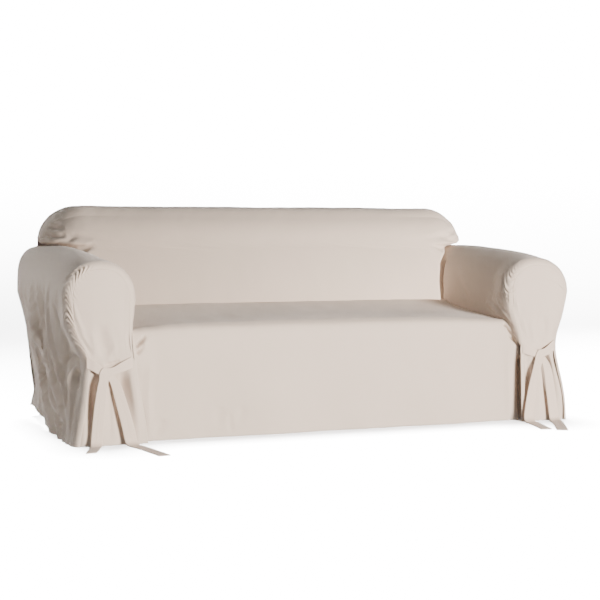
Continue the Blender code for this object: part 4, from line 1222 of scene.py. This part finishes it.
def lay(name, cells, rows, shape, flip, creases, hems=(), material=DUCK, thick=THICK, ease=None, shade=None):
    """One panel. Cells and rows are the grid's stations, and hems names its hemmed sides."""
    columns, lines = len(cells) - 1, len(rows) - 1
    grid, column, row = flat_grid(columns, lines)
    across, up = np.meshgrid(cells, rows, indexing="ij")
    places = shape(across.ravel(), up.ravel()).reshape(columns + 1, lines + 1, 3)
    if ease is not None:
        places = ease(places)
    places = places + np.array([MIDDLE_X, ARM_FRONT_Y, 0.0])

    u, v = run_lengths(places, 0), run_lengths(places, 1)
    normal = np.cross(np.gradient(places, axis=0), np.gradient(places, axis=1))
    normal /= np.linalg.norm(normal, axis=-1)[..., None] + SPECK
    if flip:
        normal = -normal
    edges = {"first": u, "last": u[-1:] - u, "foot": v, "head": v[:, -1:] - v}
    to_hem = to_nearest(edges, hems)
    to_seam = to_nearest(edges, [side for side in edges if side not in hems])
    height = creases(u, v, places, edges) * ramp(0.0, SEAM_FLAT, to_seam)
    # painted shade for the material, darkest at the bottom of deep troughs
    deep = ramp(SHADE_FROM, SHADE_FULL, -height) * (1.0 if shade is None else shade(places))
    height = height + HEM_RAISED * (1.0 - ramp(HEM_FROM, HEM_TO, to_hem))
    places = places + normal * height[..., None]

    for point, c, r in zip(grid.verts, column, row):
        point.co = places[c, r]
    if flip:
        bmesh.ops.reverse_faces(grid, faces=grid.faces)
    write_layers(grid, column, row, u, v, to_hem, deep)
    piece = finish_panel(name, grid, material, thick)
    print(name, "has", len(piece.data.polygons), "quads and is", round(float(u.max()), 3), "m across")
    return piece


def own(piece, node):
    """The declarations that every panel gets."""
    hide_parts(node)
    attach(piece, "root")


print("panels are", THICK, "m thick, and their hems stand up by", HEM_RAISED, "m")

# %% [markdown]
# Where cloth is gathered onto a seam it stands in short round puffs with sharp valleys between them, about
# 19 mm apart and never quite even. They run out into the panel over a hand's breadth. The absolute value of
# a sine has just that outline, and noise makes its beat and its strength uneven.

# %% Gathers
PUCKER = 0.019                   # from one puff to the next
PUCKER_EVEN = 0.64               # a puff's mean height, taken off so that the cloth stays where it is
PUCKER_START = 3.0               # the puff that a seam starts with
DRIFT, DRIFT_LONG, DRIFT_OUT = 0.9, 0.055, 0.06      # how many puffs their beat drifts, and over what lengths
STRONG_LONG, REACH_LONG = 0.040, 0.023               # lengths over which their strength and reach change


def puckers(along, off, seed, reach, spacing=PUCKER):
    """Puffs and valleys across a seam. Along is measured on it, and off is the distance from it."""
    on_seam = np.zeros_like(off)
    drift = DRIFT * ripple(along, off * 0.25, DRIFT_LONG, DRIFT_OUT, seed)
    puff = np.abs(np.sin(np.pi * (along / spacing + drift + PUCKER_START)))
    strong = 0.55 + 0.45 * ripple(along, on_seam, STRONG_LONG, 1.0, seed + 1)
    own_reach = reach * (0.75 + 0.45 * ripple(along, on_seam, REACH_LONG, 1.0, seed + 2))
    return (puff - PUCKER_EVEN) * strong * np.exp(-((off / own_reach) ** 2))


print("a metre of seam holds about", round(1.0 / PUCKER), "puffs")

# %% [markdown]
# The left arm hangs in long folds that start below its widest line and run forward as they fall: two light
# ridges with a deep trough between them, a slack plane behind, and short hard tucks where the tie pulls.
# They are measured by depth behind the arm front and by height. One table for both arms, mirrored, would be
# shorter, but no two sides of a real cover hang alike.

# %% Creases of the arms' outer sides
NEAR_OUTER = (
    Crease(0.62, 0.54, 0.44, 0.38, 0.24, 0.19, 0.020, 0.024),
    Crease(0.32, 0.26, 0.24, 0.17, 0.18, 0.08, 0.020, 0.008),
    Crease(0.43, 0.55, 0.36, 0.40, 0.27, 0.23, 0.022, -0.022),
    Crease(0.27, 0.50, 0.22, 0.34, 0.12, 0.08, 0.012, 0.019),
    Crease(0.17, 0.50, 0.13, 0.39, 0.12, 0.31, 0.034, -0.014),
    Crease(0.17, 0.27, 0.11, 0.31, 0.03, 0.300, 0.008, -0.011),
    Crease(0.05, 0.29, 0.10, 0.25, 0.10, 0.19, 0.009, 0.015),
    Crease(0.055, 0.27, 0.065, 0.24, 0.055, 0.20, 0.012, -0.016),
    Crease(0.10, 0.20, 0.085, 0.11, 0.06, 0.01, 0.012, 0.008),
    Crease(0.13, 0.22, 0.115, 0.13, 0.09, 0.01, 0.014, -0.008),
    Crease(0.055, 0.17, 0.045, 0.10, 0.035, 0.02, 0.008, 0.005),
    Crease(0.19, 0.53, 0.17, 0.48, 0.165, 0.43, 0.008, -0.005),
    Crease(0.38, 0.54, 0.33, 0.49, 0.29, 0.44, 0.009, -0.006),
    Crease(0.50, 0.55, 0.46, 0.50, 0.42, 0.44, 0.009, 0.005),
    Crease(0.80, 0.48, 0.64, 0.445, 0.55, 0.39, 0.009, -0.006),
    Crease(0.74, 0.40, 0.55, 0.28, 0.37, 0.14, 0.045, -0.020),
    Crease(0.72, 0.11, 0.56, 0.10, 0.42, 0.05, 0.035, 0.009),
    Crease(0.30, 0.105, 0.25, 0.085, 0.19, 0.095, 0.009, -0.014),
    Crease(0.27, 0.075, 0.22, 0.060, 0.16, 0.070, 0.008, -0.010),
    Crease(0.23, 0.130, 0.20, 0.115, 0.17, 0.125, 0.007, 0.005),
    Crease(0.72, 0.19, 0.50, 0.225, 0.33, 0.250, 0.006, -0.002),
)
FAR_OUTER = (
    Crease(0.66, 0.54, 0.56, 0.36, 0.50, 0.12, 0.026, 0.011),
    Crease(0.52, 0.54, 0.45, 0.38, 0.42, 0.16, 0.022, -0.011),
    Crease(0.40, 0.53, 0.33, 0.36, 0.29, 0.12, 0.020, 0.011),
    Crease(0.30, 0.50, 0.24, 0.38, 0.21, 0.24, 0.018, -0.009),
    Crease(0.18, 0.52, 0.16, 0.40, 0.15, 0.28, 0.016, 0.007),
    Crease(0.16, 0.27, 0.10, 0.30, 0.03, 0.302, 0.008, -0.006),
    Crease(0.06, 0.28, 0.09, 0.24, 0.09, 0.18, 0.010, 0.008),
    Crease(0.10, 0.20, 0.08, 0.11, 0.06, 0.01, 0.012, 0.007),
    Crease(0.78, 0.48, 0.70, 0.40, 0.66, 0.26, 0.012, -0.007),
    Crease(0.26, 0.20, 0.20, 0.12, 0.17, 0.03, 0.018, 0.008),
    Crease(0.74, 0.22, 0.68, 0.12, 0.66, 0.02, 0.030, -0.010),
    Crease(0.30, 0.10, 0.25, 0.085, 0.20, 0.09, 0.008, -0.005),
)
print(len(NEAR_OUTER), "creases on the left arm's outer side, and", len(FAR_OUTER), "on the right one's")

# %% [markdown]
# The round facings are pulled in by the tie, so short hollows run up from the knot, and thin folds slant in
# from the gathered side. Below the tie the loose flap hangs in a few straight soft folds. They are measured
# by distance from the seat's middle and by height, so one crease can run from the facing into the flap.

# %% Creases of the arm fronts
NEAR_FRONT = (
    Crease(0.885, 0.43, 0.885, 0.37, 0.876, 0.310, 0.014, -0.006),
    Crease(0.915, 0.40, 0.908, 0.36, 0.898, 0.315, 0.010, 0.004),
    Crease(0.785, 0.40, 0.780, 0.36, 0.772, 0.325, 0.008, -0.004),
    Crease(0.985, 0.51, 0.972, 0.475, 0.958, 0.440, 0.006, 0.003),
    Crease(0.978, 0.47, 0.960, 0.435, 0.940, 0.400, 0.006, 0.004),
    Crease(0.966, 0.43, 0.945, 0.390, 0.918, 0.345, 0.007, 0.004),
    Crease(0.955, 0.38, 0.935, 0.350, 0.915, 0.320, 0.006, -0.003),
    Crease(0.830, 0.36, 0.845, 0.330, 0.860, 0.300, 0.009, 0.003),
    Crease(0.880, 0.24, 0.884, 0.13, 0.890, 0.010, 0.014, 0.005),
    Crease(0.855, 0.20, 0.850, 0.11, 0.848, 0.010, 0.010, -0.004),
    Crease(0.765, 0.24, 0.752, 0.13, 0.742, 0.010, 0.010, 0.004),
    Crease(0.932, 0.24, 0.938, 0.13, 0.950, 0.010, 0.008, 0.004),
    Crease(0.842, 0.28, 0.828, 0.20, 0.812, 0.11, 0.010, -0.012),
    Crease(0.936, 0.274, 0.918, 0.268, 0.896, 0.256, 0.0045, -0.012),
    Crease(0.872, 0.286, 0.846, 0.290, 0.815, 0.300, 0.0045, -0.012),
)
FAR_FRONT = (
    Crease(0.925, 0.42, 0.930, 0.37, 0.935, 0.320, 0.014, -0.006),
    Crease(0.860, 0.40, 0.868, 0.36, 0.880, 0.315, 0.011, 0.004),
    Crease(0.975, 0.40, 0.965, 0.36, 0.955, 0.320, 0.009, -0.004),
    Crease(0.820, 0.42, 0.832, 0.38, 0.850, 0.335, 0.007, 0.003),
    Crease(0.790, 0.50, 0.800, 0.46, 0.812, 0.420, 0.006, 0.003),
    Crease(0.880, 0.24, 0.868, 0.14, 0.858, 0.020, 0.008, -0.004),
    Crease(0.905, 0.24, 0.906, 0.13, 0.908, 0.010, 0.014, 0.004),
    Crease(1.000, 0.22, 1.010, 0.12, 1.020, 0.010, 0.010, 0.004),
    Crease(0.935, 0.28, 0.952, 0.16, 0.975, 0.04, 0.012, -0.020),
    Crease(0.868, 0.26, 0.858, 0.14, 0.848, 0.02, 0.008, -0.010),
    Crease(0.918, 0.286, 0.940, 0.294, 0.965, 0.304, 0.0045, -0.012),
)
print(len(NEAR_FRONT), "creases on the left arm front, and", len(FAR_FRONT), "on the right one")

# %% [markdown]
# The inner face of an arm is stretched smooth. It has a few pulls towards the tie, and one deep line where
# the cloth is tucked in between the arm and the back. Both arms share the table, because they show so
# little of it. It is measured by depth behind the arm front and by height.

# %% Creases of the arms' inner faces
INNER_FACE = (
    Crease(0.12, 0.47, 0.06, 0.43, 0.020, 0.375, 0.007, -0.011),
    Crease(0.09, 0.50, 0.05, 0.46, 0.015, 0.420, 0.006, -0.009),
    Crease(0.20, 0.47, 0.12, 0.445, 0.060, 0.410, 0.010, 0.007),
    Crease(0.50, 0.60, 0.40, 0.52, 0.340, 0.460, 0.016, -0.003),
    Crease(0.590, 0.43, 0.602, 0.56, 0.636, 0.680, 0.010, -0.050),
)
print(len(INNER_FACE), "creases on each arm's inner face")

# %% [markdown]
# At its two upper corners the skirt is caught by the ties, which pinches it into three or four small sharp
# folds. The rest hangs straight, with a few dents near the hem. They are measured to the right of the
# seat's middle and by height. Gathers worked out by a rule would be too even for folds that one pull makes.

# %% Creases of the skirt
SKIRT = (
    Crease(-0.748, 0.343, -0.734, 0.354, -0.710, 0.384, 0.0055, -0.022),
    Crease(-0.748, 0.320, -0.736, 0.330, -0.716, 0.352, 0.0050, -0.018),
    Crease(-0.744, 0.332, -0.730, 0.342, -0.706, 0.362, 0.0060, 0.009),
    Crease(0.764, 0.394, 0.784, 0.374, 0.802, 0.352, 0.0060, -0.024),
    Crease(0.774, 0.374, 0.795, 0.352, 0.814, 0.330, 0.0060, -0.024),
    Crease(0.780, 0.346, 0.801, 0.328, 0.822, 0.304, 0.0060, -0.020),
    Crease(0.768, 0.378, 0.788, 0.360, 0.806, 0.338, 0.0070, 0.012),
    Crease(-0.385, 0.085, -0.386, 0.050, -0.380, 0.010, 0.006, -0.004),
    Crease(-0.340, 0.110, -0.345, 0.080, -0.360, 0.045, 0.014, -0.004),
    Crease(-0.420, 0.110, -0.430, 0.080, -0.440, 0.040, 0.014, -0.004),
    Crease(-0.640, 0.075, -0.655, 0.050, -0.675, 0.015, 0.014, -0.005),
    Crease(-0.690, 0.30, -0.700, 0.16, -0.690, 0.010, 0.012, 0.004),
    Crease(0.775, 0.30, 0.790, 0.16, 0.800, 0.010, 0.012, 0.004),
)
print(len(SKIRT), "creases on the skirt")

# %% [markdown]
# The ears of the back are the fullest part, so the spare cloth is drawn into short folds under each of them
# and round its end. They are listed one by one, because only their places tell that the cloth is tight there.
# They are measured as the skirt's are.

# %% Creases of the inside back
BACK = (
    Crease(-0.805, 0.672, -0.790, 0.690, -0.755, 0.712, 0.008, -0.010),
    Crease(-0.812, 0.668, -0.806, 0.690, -0.795, 0.712, 0.006, -0.004),
    Crease(-0.800, 0.690, -0.780, 0.705, -0.750, 0.725, 0.010, 0.004),
    Crease(0.800, 0.672, 0.782, 0.690, 0.750, 0.708, 0.008, -0.006),
    Crease(0.790, 0.60, 0.770, 0.640, 0.735, 0.675, 0.012, -0.004),
    Crease(-0.930, 0.792, -0.905, 0.778, -0.865, 0.777, 0.007, -0.012),
    Crease(-0.938, 0.755, -0.905, 0.738, -0.860, 0.742, 0.008, -0.014),
    Crease(-0.925, 0.728, -0.895, 0.724, -0.850, 0.734, 0.008, 0.010),
    Crease(-0.900, 0.712, -0.870, 0.722, -0.835, 0.742, 0.007, -0.010),
    Crease(-0.870, 0.708, -0.845, 0.724, -0.820, 0.750, 0.006, -0.008),
    Crease(0.900, 0.770, 0.870, 0.760, 0.840, 0.765, 0.008, -0.006),
    Crease(0.905, 0.742, 0.870, 0.725, 0.835, 0.735, 0.008, -0.008),
    Crease(0.895, 0.715, 0.860, 0.722, 0.820, 0.745, 0.007, -0.010),
    Crease(0.850, 0.706, 0.825, 0.722, 0.800, 0.750, 0.006, -0.009),
)
print(len(BACK), "creases on the inside back")

# %% [markdown]
# The seat and the front skirt are one panel. It is pulled flat by what lies under it, so it has only slow
# hollows on the seat and a few soft dents in the skirt. Smooth noise makes the hollows, because no single
# one of them matters, and the table places the dents, because each of them does.

# %% The seat and skirt
SEAT_SLACK = (Slack(0.0022, 0.22, 0.13, 3), Slack(0.0010, 0.07, 0.16, 4), Slack(0.0005, 0.025, 0.05, 13))
SKIRT_FROM, SKIRT_TO = 0.385, 0.405      # heights between which the skirt turns into the seat
TUCK_HEIGHT, TUCK_REACH = 0.0035, 0.030  # tucks along the seat's two sides
SLIT_LOW, SLIT_HIGH = 0.235, 0.275       # the slit beside the right arm's flap is open up to here
SLIT_OUT, SLIT_BACK = 0.024, 0.020       # how far the skirt runs on behind it, and how far back


def as_measured(places):
    """The panel's points measured as the tables measure them."""
    return places[..., 0] - MIDDLE_X, places[..., 1] - ARM_FRONT_Y, places[..., 2]


def under_flap(x, z):
    """1 where the skirt's right edge runs on behind the right arm's flap."""
    edge = read(ARMS[1].waist, "height", "skirt", z)
    return ramp(-0.006, 0.010, x - edge) * (1.0 - ramp(SLIT_LOW, SLIT_HIGH, z))


def seat_creases(u, v, places, edges):
    """Slow hollows and side tucks on the seat, and the table's folds on the skirt."""
    x, y, z = as_measured(places)
    on_skirt = 1.0 - ramp(SKIRT_FROM, SKIRT_TO, z)
    left_tucks = TUCK_HEIGHT * puckers(y, u, 21, TUCK_REACH, 0.030)
    right_tucks = TUCK_HEIGHT * puckers(y, edges["last"], 22, TUCK_REACH, 0.028)
    tucks = left_tucks + right_tucks
    folds = slack(u, v, *SEAT_SLACK) + on_skirt * creased(SKIRT, x, z) + (1.0 - on_skirt) * tucks
    return folds - SLIT_BACK * under_flap(x, z)


def skirt_into_slit(cell, row):
    """The panel, with its right edge drawn out behind the flap, where the slit would show the floor."""
    places = seat_and_skirt(cell, row)
    low = (1.0 - ramp(SLIT_LOW, SLIT_HIGH, places[..., 2])) * ramp(0.6, 0.7, row / SEAT_ROWS)
    places[..., 0] += SLIT_OUT * low * ramp(SEAT_CELLS - 0.4, float(SEAT_CELLS), cell)
    return places


seat = lay(
    "slipcover_seat_and_skirt", stations((1, 20), (SEAT_CELLS - 2, 7), (1, 20)),
    stations((8, 5), (SEAT_ROWS - 8, 7)), skirt_into_slit, True, seat_creases, hems=("head",),
)
own(seat, "seat_and_skirt")

# %% [markdown]
# The inside back is pulled tight over a soft edge. The pattern's rows give it a slight corner where the
# face turns over, so each point is averaged with its neighbours a few dozen times, as a filling would round
# it. A modifier could smooth it as well, but would also round off the notches beside the ears.

# %% The inside back
EASINGS, EASE = 45, 0.25                 # how often each point is averaged, and how much each time
BACK_SLACK = (Slack(0.0020, 0.24, 0.14, 5), Slack(0.0010, 0.07, 0.14, 6), Slack(0.0005, 0.025, 0.05, 14))
EAR_TUCK, EAR_REACH, EAR_SPACING = 0.009, 0.080, 0.028             # tucks round an ear
EAR_EDGE = 0.09                          # they start to fade this far in from the panel's side
EAR_SLANT = 0.4                          # how far they lean towards its middle
UNDER_TUCK, UNDER_HEIGHT, UNDER_SPACING = 0.006, 0.715, 0.022      # and those under an ear


def back_creases(u, v, places, edges):
    """Slow hollows, the table's folds, and the tucks round and under the ears."""
    x, y, z = as_measured(places)
    from_side = np.minimum(u, edges["last"])
    off_edge = np.maximum(from_side - EAR_EDGE, 0.0)
    ears = EAR_TUCK * ramp(0.695, 0.73, z)
    ears = ears * puckers(v - EAR_SLANT * from_side, off_edge, 31, EAR_REACH, EAR_SPACING)
    under = UNDER_TUCK * mound(UNDER_HEIGHT, 0.045, z)
    under = under * puckers(from_side, np.zeros_like(u), 34, 1.0, UNDER_SPACING)
    under = under * (1.0 - ramp(0.16, 0.34, from_side))
    crease = creased(BACK, x, z) * (1.0 - ramp(0.74, 0.79, y))
    return slack(u, v, *BACK_SLACK) + ears + under + crease


def back_shade(places):
    """The tucks at the ears are shallow and open, so they get less of the painted fold shade."""
    return 1.0 - 0.55 * ramp(0.60, 0.80, np.abs(places[..., 0] - MIDDLE_X))


def ease_back(places):
    """Average each point with its neighbours up and down the cloth, except near the ears."""
    eased = places.copy()
    for _ in range(EASINGS):
        eased[:, 1:-1] += EASE * (eased[:, :-2] + eased[:, 2:] - 2.0 * eased[:, 1:-1])
    keep = ramp(0.52, 0.80, np.abs(places[..., :1]))
    return mix(eased, places, keep)


inside = lay(
    "slipcover_inside_back", stations((6, 10), (BACK_CELLS - 12, 7), (6, 10)),
    stations((6, 6), (6, 5), (3, 11), (TOP_ROWS, 6)), inside_back, False, back_creases, ease=ease_back,
    shade=back_shade,
)
own(inside, "inside_back")

# %% [markdown]
# The rear panel hangs free from its top seam. Its folds are long, upright and slack, and they grow towards
# the hem, which is what tells hanging cloth from stretched cloth. Noise stretched upright makes them. A
# table of creases would do as well, but no single fold matters there.

# %% The outside back
REAR_SLACK = Slack(0.0020, 0.20, 0.16, 7)
REAR_FOLDS = Slack(0.0060, 0.07, 0.60, 8)            # they hang from the top seam
REAR_SLANTED = Slack(0.0016, 0.030, 0.20, 15)        # and these lean a little
REAR_LEAN = 0.2                                      # their slant, as a share of the way up
REAR_FINE = Slack(0.0005, 0.025, 0.05, 16)


def rear_creases(u, v, places, edges):
    """Slack folds that grow towards the hem."""
    hanging = 1.0 - ramp(0.30, 0.75, v)
    slow = slack(u, v, REAR_SLACK) + hanging * slack(u, v, REAR_FOLDS)
    return slow + slack(u + REAR_LEAN * v, v, REAR_SLANTED) + slack(u, v, REAR_FINE)


outside = lay(
    "slipcover_outside_back", stations((2, 6), (REAR_CELLS - 4, 12), (2, 6)),
    stations((4, 11), (8, 7), (TURN_CELLS, 6)), outside_back, True, rear_creases, hems=("foot",),
)
own(outside, "outside_back")

# %% [markdown]
# One long panel goes over each arm. It is gathered onto the facing where it turns the curve, on the side
# that has more cloth than the seam needs. The two arms share one recipe, and only their tables, heights and
# random seeds differ, because real folds never match.

# %% Folds of the arm panels
ArmLook = namedtuple("ArmLook", "outer front seed front_seed hang band")
LOOKS = {
    "left": ArmLook(NEAR_OUTER, NEAR_FRONT, 40, 80, 0.0045, 0.019),
    "right": ArmLook(FAR_OUTER, FAR_FRONT, 60, 90, 0.0028, 0.024),
}
PLEAT_LONG, PLEAT_TALL, PLEAT_LEAN = 0.030, 0.26, 0.35      # size and slant of the slack folds
BAND_REACH = 0.055               # how far the gathers run out from the seam
BAND_EVEN = 0.04                 # what is left of them where the cloth isn't gathered


def arm_creases(arm, u, v, places, edges):
    """Hanging folds on the outer side, a few pulls on the inner face, and gathers round the front."""
    x, y, z = as_measured(places)
    look = LOOKS[arm.word]
    outer, inner = ramp(0.86, 0.90, np.abs(x)), 1.0 - ramp(0.79, 0.82, np.abs(x))
    below = 1.0 - ramp(0.50, 0.60, z)
    hang = look.hang * below * pleats(y + PLEAT_LEAN * z, z, PLEAT_LONG, PLEAT_TALL, look.seed)
    hang = hang * ramp(0.06, 0.14, y)
    folds = outer * (creased(look.outer, y, z) + hang)
    face = inner * creased(INNER_FACE, y, z)

    gathered = ramp(0.41, 0.50, u) if arm.side < 0 else 1.0 - ramp(0.20, 0.40, u)
    band = look.band * (BAND_EVEN + (1.0 - BAND_EVEN) * gathered) * ramp(0.05, 0.12, u)
    band = band * ramp(0.26, 0.34, z) * puckers(u, v, look.seed + 3, BAND_REACH)
    waves = (Slack(0.0012, 0.16, 0.20, look.seed + 8), Slack(0.0005, 0.025, 0.06, look.seed + 9))
    return folds + face + band + slack(u, v, *waves)


def arm_shade(places):
    """Broad slack hollows on the outer side get less painted fold shade than the tight folds in front."""
    x, y, _ = as_measured(places)
    return 1.0 - 0.60 * ramp(0.86, 0.90, np.abs(x)) * ramp(0.16, 0.30, y)


for word, look in LOOKS.items():
    print("the", word, "side's slack folds are", look.hang, "m high, and its gathers", look.band)

# %% [markdown]
# A rounded facing closes each arm, and the flap hangs from it. The panel's gathers tug at the facing's
# seam, on the outer side of the left arm and on the inner side of the right one. The surface has a sharp
# line where the facing ends, and cloth has none, so the two are blended over one cell.

# %% The two arms
TUG, TUG_REACH = 0.0060, 0.020   # height of a tug, and how far it runs into the facing


def front_creases(arm, u, v, places, edges):
    """The table's creases, the tugs of the gathers, and slow slack."""
    x, y, z = as_measured(places)
    look = LOOKS[arm.word]
    out = np.abs(x)
    from_seam = np.minimum(np.minimum(edges["first"], edges["last"]), edges["head"])
    tugs = TUG * ramp(0.31, 0.36, z) * puckers(u + v, from_seam, look.front_seed + 2, TUG_REACH)
    tugs = tugs * (ramp(0.88, 0.93, out) if arm.side < 0 else 1.0 - ramp(0.88, 0.93, out))
    waves = (Slack(0.0014, 0.06, 0.14, look.front_seed), Slack(0.0005, 0.022, 0.05, look.front_seed + 1))
    return creased(look.front, out, z) + tugs + slack(u, v, *waves)


def soft_front(arm, cell, row):
    """The facing runs into the flap over one cell."""
    share = ramp(FLAP_ROWS - 0.5, FLAP_ROWS + 0.5, row)[..., None]
    facing = arm_front(arm, cell, np.maximum(row, float(FLAP_ROWS)))
    flap = arm_front(arm, cell, np.minimum(row, FLAP_ROWS - 1e-6))     # just below the line between them
    return facing * share + flap * (1.0 - share)


for arm in ARMS:
    panel = lay(
        f"slipcover_arm_panel_{arm.word}",
        stations((INNER_CELLS, 5), (ARCH_CELLS, 7), (UPPER_CELLS + LOWER_CELLS, 9)),
        stations((BAND_ROWS, 7), (10, 8), (10, 7)),
        partial(arm_panel, arm), arm.side < 0, partial(arm_creases, arm), hems=("last",), shade=arm_shade,
    )
    own(panel, f"arm_panel_{arm.word}")
    facing = lay(
        f"slipcover_arm_front_{arm.word}", stations((FRONT_CELLS, 6)), stations((FLAP_ROWS + HEAD_ROWS, 9)),
        partial(soft_front, arm), arm.side > 0, partial(front_creases, arm), hems=("foot", "last"),
    )
    own(facing, f"arm_front_{arm.word}")

# %% [markdown]
# The ties hold the flap to the panel in a plain crossed knot and end in free tails. They are stiffer than
# the cover, being double, and have no creases beside the turns in their tables, so the same recipe serves
# them.


def no_creases(u, v, places, edges):
    """A tie's turns are in its table."""
    return np.zeros(u.shape)


for name, table in TIES.items():
    strip = lay(
        f"slipcover_{name}", stations((TIE_CELLS, 4)), stations((len(table) - 1, 8)), partial(tie, table),
        True, no_creases, hems=("first", "last", "head"), material=TAPE, thick=TIE_CLOTH,
    )
    own(strip, name)

# %% [markdown]
# The back has a light of its own, near its right end, so it falls off towards the left. The key lights all
# the other pieces. A real studio would keep the two apart with screens, and light linking does it without
# them.

# %% What each light reaches
def lit(lamp_name, pieces):
    """Link a lamp to some pieces, which alone receive its light."""
    group = bpy.data.collections.new(f"lit by the {lamp_name}")
    for piece in pieces:
        group.objects.link(piece)
    bpy.data.objects[lamp_name].light_linking.receiver_collection = group
    return group


pieces = [piece for piece in bpy.data.objects if piece.name.startswith("slipcover_")]
only_back = lit("back_key", [inside])
bpy.data.objects["back_key"].light_linking.blocker_collection = only_back     # no arm throws a shadow on it
lit("key", [piece for piece in pieces if piece is not inside])
lit("floor_bounce", pieces)
